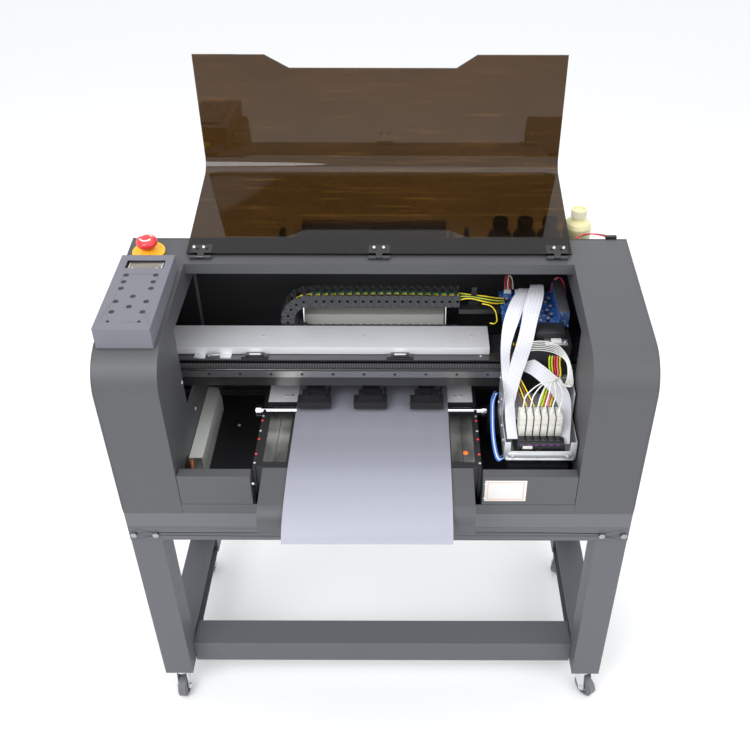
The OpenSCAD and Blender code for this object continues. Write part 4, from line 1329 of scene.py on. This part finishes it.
@dataclass
class Platen:
    """Screws, dots and small brackets round the platen and in the bays.

    Attributes:
        left: the X of the platen's left frame.
        right: the X of its right frame.
    """

    left: float = -229.0
    right: float = 189.0

    def build(self) -> None:
        """Makes the dots, screws and brackets."""
        red = FINISHES["red_plastic"]
        places = [((x, y, 691), (0, 0, 1)) for x in (self.left, self.right) for y in (62, 104, 158)]
        fit(Bench.scatter("level_dots", screw(2.6, 1.2, red, False), places), "root", "red_plastic")
        places = [((x, y, 691), (0, 0, 1)) for x in (self.left, self.right) for y in (38, 128, 172)]
        places += [((-228, -0.1, 676), (0, -1, 0)), ((198, -0.1, 676), (0, -1, 0)),
                   ((198, -0.1, 640), (0, -1, 0)),
                   ((-190, 238, 689), (0, 0, 1)), ((-178, 238, 689), (0, 0, 1)),
                   ((150, 238, 689), (0, 0, 1)), ((162, 238, 689), (0, 0, 1))]
        steel = FINISHES["bright_steel"]
        fit(Bench.scatter("platen_screws", screw(2.7, 1.4, steel), places), "root", "bright_steel")
        orange = [Bench.rod("dot", (164, 66, 691), (164, 66, 692.2), 5, Shades.ORANGE.finish(), 24, 0.3)]
        fit(Bench.join("reference_dot", orange), "root", "red_plastic")
        floor = ((-300, 120), (-250, 48), (-300, 260), (-344, 60), (210, 60))
        bays = [((x, y, 590), (0, 0, 1)) for x, y in floor]
        bays += [((-367.8, y, z), (1, 0, 0)) for y, z in ((140, 800), (196, 690), (120, 640))]
        fit(Bench.scatter("bay_screws", screw(3.2, 1.6, PALE_MARK), bays), "root", "bright_steel")
        angle = [Bench.block("plate", (-367.9, 66, 600), (-366.2, 92, 660), FINISHES["black_metal"], 0.5),
                 Bench.block("plate", (-367.9, 66, 598), (-356, 92, 600), FINISHES["black_metal"], 0.5)]
        fit(Bench.join("bay_bracket", angle), "root", "black_metal")
        lead = Bench.tube("bay_lead", [(-362, 104, 646), (-362, 92, 640), (-361, 86, 622), (-360, 88, 606),
                                       (-358, 92, 594)], 1.8, Shades.ORANGE.finish())
        fit(lead, "root", "red_plastic")


@dataclass
class Controls:
    """Display, keypad screws and the stop button's head with its arrow marks.

    Attributes:
        middle: the X of the keypad.
        slope: the slope of its face, in degrees.
        stop: the stop button's X and Y.
        lean: the slope of the cover under it, in degrees.
    """

    middle: float = -425.0
    slope: float = 2.85
    stop: tuple[float, float] = (-440.0, 322.0)
    lean: float = 5.4

    def face(self, y: float) -> float:
        """The Z of the keypad's face at a Y."""
        return 987 + (y - 47) * math.tan(math.radians(self.slope))

    def display(self) -> None:
        """Makes the display in the keypad's window, with its two lamps."""
        z = self.face(241)
        parts = [Bench.block("frame", (-462, 226, z - 9), (-388, 256, z - 6), FINISHES["dark_plastic"], 0.5),
                 Bench.block("bezel", (-456, 230, z - 6.2), (-394, 252, z - 4.2), PALE_MARK, 0.6),
                 Bench.block("glass", (-454, 231.5, z - 4.4), (-396, 250.5, z - 3.2), DISPLAY, 0.4)]
        for x in (-447, -403):
            parts.append(Bench.rod("lamp", (x, 231, z - 4.4), (x, 231, z - 2.6), 2, PALE_MARK, 14))
        fit(Bench.join("display", parts), "root", "dark_plastic")

    def build(self) -> None:
        """Makes the controls' details."""
        self.display()
        tilt = math.radians(self.slope)
        up = (0.0, -math.sin(tilt), math.cos(tilt))
        places = [((self.middle + s * 26.5, 68, self.face(68) - 1.4), up) for s in (-1, 1)]
        fit(Bench.scatter("keypad_screws", screw(3.4, 1.6, FINISHES["black_plastic"]), places), "root",
            "black_plastic")
        places = []
        for y in (205, 184, 164, 125, 95):
            places += [((self.middle + s * 26.5, y, self.face(y) - 0.1), up) for s in (-1, 1)]
        places += [((self.middle, y, self.face(y) - 0.1), up) for y in (140, 110)]
        fit(Bench.scatter("key_rings", self.ring(), places), "root", "dark_plastic")
        self.stop_head()

    def ring(self) -> Piece:
        """A thin ring round a key, at the frame's origin."""
        bpy.ops.object.select_all(action="DESELECT")
        bpy.ops.mesh.primitive_torus_add(major_segments=28, minor_segments=6, major_radius=4.6 * MM,
                                         minor_radius=0.45 * MM)
        return Bench.settle("ring", FINISHES["dark_plastic"])

    def stop_head(self) -> None:
        """Turns the stop button's crowned head and lays two curved arrows on it."""
        profile = ((0.0, 17.0), (9.0, 16.7), (14.0, 15.4), (18.0, 12.8), (19.7, 9.5), (20.0, 6.0),
                   (19.6, 3.2), (17.0, 0.6), (0.0, 0.2))
        sheet = bpy.data.meshes.new("head")
        sheet.from_pydata([(r * MM, 0, z * MM) for r, z in profile],
                          [(i, i + 1) for i in range(len(profile) - 1)], [])
        head = bpy.data.objects.new("head", sheet)
        bpy.context.scene.collection.objects.link(head)
        Bench.pick(head)
        bpy.ops.object.mode_set(mode="EDIT")
        bpy.ops.mesh.select_all(action="SELECT")
        bpy.ops.mesh.spin(steps=48, angle=2 * math.pi, center=(0, 0, 0), axis=(0, 0, 1))
        bpy.ops.mesh.select_all(action="SELECT")
        bpy.ops.mesh.remove_doubles(threshold=0.00002)
        bpy.ops.mesh.normals_make_consistent(inside=False)
        bpy.ops.object.mode_set(mode="OBJECT")
        parts = [Bench.settle("head", FINISHES["red_plastic"], 50.0)]
        for start in (0.0, math.pi):
            arc = [start + 0.35 + 0.22 * i for i in range(10)]
            inner = [home(9.6 * math.cos(a), 9.6 * math.sin(a), 16.9) for a in arc]
            outer = [home(12.4 * math.cos(a), 12.4 * math.sin(a), 16.3) for a in arc]
            parts.append(Bench.strip("arc", list(zip(inner, outer)), 0.5, PALE_MARK, 2, 2))
            tip = arc[-1] + 0.45
            last = arc[-1]
            parts.append(Bench.strip("tip", [
                (home(8.2 * math.cos(last), 8.2 * math.sin(last), 17.0),
                 home(13.8 * math.cos(last), 13.8 * math.sin(last), 16.0)),
                (home(10.8 * math.cos(tip), 10.8 * math.sin(tip), 16.7),
                 home(11.2 * math.cos(tip), 11.2 * math.sin(tip), 16.6))], 0.5, PALE_MARK, 1, 2))
        parts.append(Bench.rod("stem", home(0, 0, -13), home(0, 0, 0.6), 7, FINISHES["red_plastic"], 28))
        button = Bench.join("stop_head", parts)
        x, y = self.stop
        level = 977 - (370 - y) * math.tan(math.radians(self.lean))
        lean = Matrix.Rotation(math.radians(self.lean), 4, "X")
        raised = Matrix.Translation((0, 0, 18 * MM))
        button.data.transform(Matrix.Translation(Plan.at(x, y, level)) @ lean @ raised)
        fit(button, "estop", "red_plastic", "estop_button")


@dataclass
class Body:
    """Screws, the blank plate, the back's vents and the rear wiring."""

    def build(self) -> None:
        """Makes the body's small parts."""
        steel = FINISHES["bright_steel"]
        plate = [Bench.block("plate", (197, -0.9, 632), (274, 0.1, 684), PALE_MARK, 0.3)]
        plate += [Bench.block("frame", (202, -1.1, z), (269, -0.7, z + 0.8), Shades.ORANGE.finish(), 0.1)
                  for z in (636, 679)]
        plate += [Bench.block("frame", (x, -1.1, 636), (x + 0.8, -0.7, 679.8), Shades.ORANGE.finish(), 0.1)
                  for x in (202, 268.2)]
        fit(Bench.join("blank_plate", plate), "root", "white_panel")
        places = [((x, 418, z), (0, 1, 0)) for x in (-465, -160, 160, 465) for z in (612, 890)]
        fit(Bench.scatter("panel_screws", screw(3.6, 1.8, steel), places), "root", "bright_steel")
        vents = [Bench.block("louvre", (x, 417.6, z), (x + 90, 420.5, z + 3.2), FINISHES["body_grey"], 1.2)
                 for x in (-330, 240) for z in range(760, 850, 10)]
        fit(Bench.join("back_louvres", vents), "root", "body_grey")
        seals = [Bench.block("seal", (x, 412.6, 699), (x + 20.5, 414.8, 801), FINISHES["rubber"], 0.5)
                 for x in (-187.3, 135.8)]
        seals += [Bench.block("seal", (x, 411.8, z), (x + 20.5, 413, z + 1), FINISHES["rubber"], 0.2)
                  for x in (-187.3, 135.8) for z in range(702, 800, 8)]
        fit(Bench.join("slot_seals", seals), "root", "rubber")
        leads = [Bench.tube("lead", [(372, 376, 950), (384, 392, 962), (404, 404, 968), (424, 398, 972),
                                     (446, 380, 976)], 1.3, Shades.RED.finish()),
                 Bench.tube("lead", [(370, 380, 948), (386, 398, 960), (408, 410, 964), (428, 402, 970),
                                     (448, 384, 976)], 1.3, Shades.BLACK.finish()),
                 Bench.block("clip", (440, 372, 975), (462, 380, 981), FINISHES["black_plastic"], 0.8)]
        fit(Bench.join("rear_leads", leads), "root", "black_plastic")


@dataclass
class LidFittings:
    """Bright screw heads on the lid's hinge straps.

    Attributes:
        axis: the Y and Z of the hinge axis.
        lean: how far the raised panel leans back, in degrees.
        hinges: the X of the hinges.
    """

    axis: tuple[float, float] = (302.0, 975.0)
    lean: float = 11.0
    hinges: tuple[float, ...] = (-338.0, 0.0, 338.0)

    def spot(self, x: float, up: float, out: float) -> Place:
        """A place on the raised panel, from its distance up it and out of it."""
        lean = math.radians(self.lean)
        return (x, self.axis[0] + up * math.sin(lean) - out * math.cos(lean),
                self.axis[1] + up * math.cos(lean) + out * math.sin(lean))

    def build(self) -> None:
        """Sets two screw heads on each strap."""
        lean = math.radians(self.lean)
        front = (0.0, -math.cos(lean), math.sin(lean))
        places = [(self.spot(x + side, 22, 4.75), front) for x in self.hinges for side in (-9, 9)]
        fit(Bench.scatter("strap_screws", screw(2.7, 0.9, PALE_MARK), places), "lid", "dark_plastic")


@dataclass
class Behind:
    """The ink bottles' caps and levels, and the power inlet's pins."""

    bottles: tuple[float, ...] = (242.0, 292.0, 342.0)

    def build(self) -> None:
        """Makes the details behind the body."""
        cap, parts = PALE_MARK, []
        for x, z in [(b, 960) for b in self.bottles] + [(398.0, 984.0)]:
            for i in range(20):
                turn = 2 * math.pi * i / 20
                side, back = x + 15 * math.cos(turn), 450 + 15 * math.sin(turn)
                parts.append(Bench.rod("rib", (side, back, z + 1), (side, back, z + 14), 0.9, cap, 6, 0))
            parts.append(Bench.rod("skirt", (x, 450, z), (x, 450, z + 12.8), 14.8, cap, 32, 0.8))
        fit(Bench.join("bottle_caps", parts), "root", "white_plastic")
        inks = (Shades.BLACK, Shades.BLUE, Shades.RED, Shades.YELLOW)
        parts = []
        for x, shade, radius in zip((*self.bottles, 398.0), inks, (24.3, 24.3, 24.3, 28.3)):
            parts.append(Bench.rod("label", (x, 450, 876), (x, 450, 912), radius, shade.finish(), 48, 0.3))
        fit(Bench.join("ink_bands", parts), "root", "ink_bottle")
        pins = [Bench.block("pin", (x, 408, z), (x + 4, 420, z + 2), FINISHES["bright_steel"], 0.3)
                for x, z in ((-352, 643), (-358, 636), (-346, 636))]
        fit(Bench.join("inlet_pins", pins), "root", "bright_steel")


def main() -> None:
    """Builds the looks round the frame, in order."""
    logging.basicConfig(level=logging.INFO, format="%(name)s: %(message)s")
    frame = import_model()
    Plan.read()
    Studio().build()
    for part in (FilmWeb(), Gantry(), CableChain(), Carriage(), Platen(), Controls(), Body(), LidFittings(),
                 Behind()):
        part.build()
        log.info("built %s", type(part).__name__)
    Shell().dress(frame)


if __name__ == "__main__":
    main()
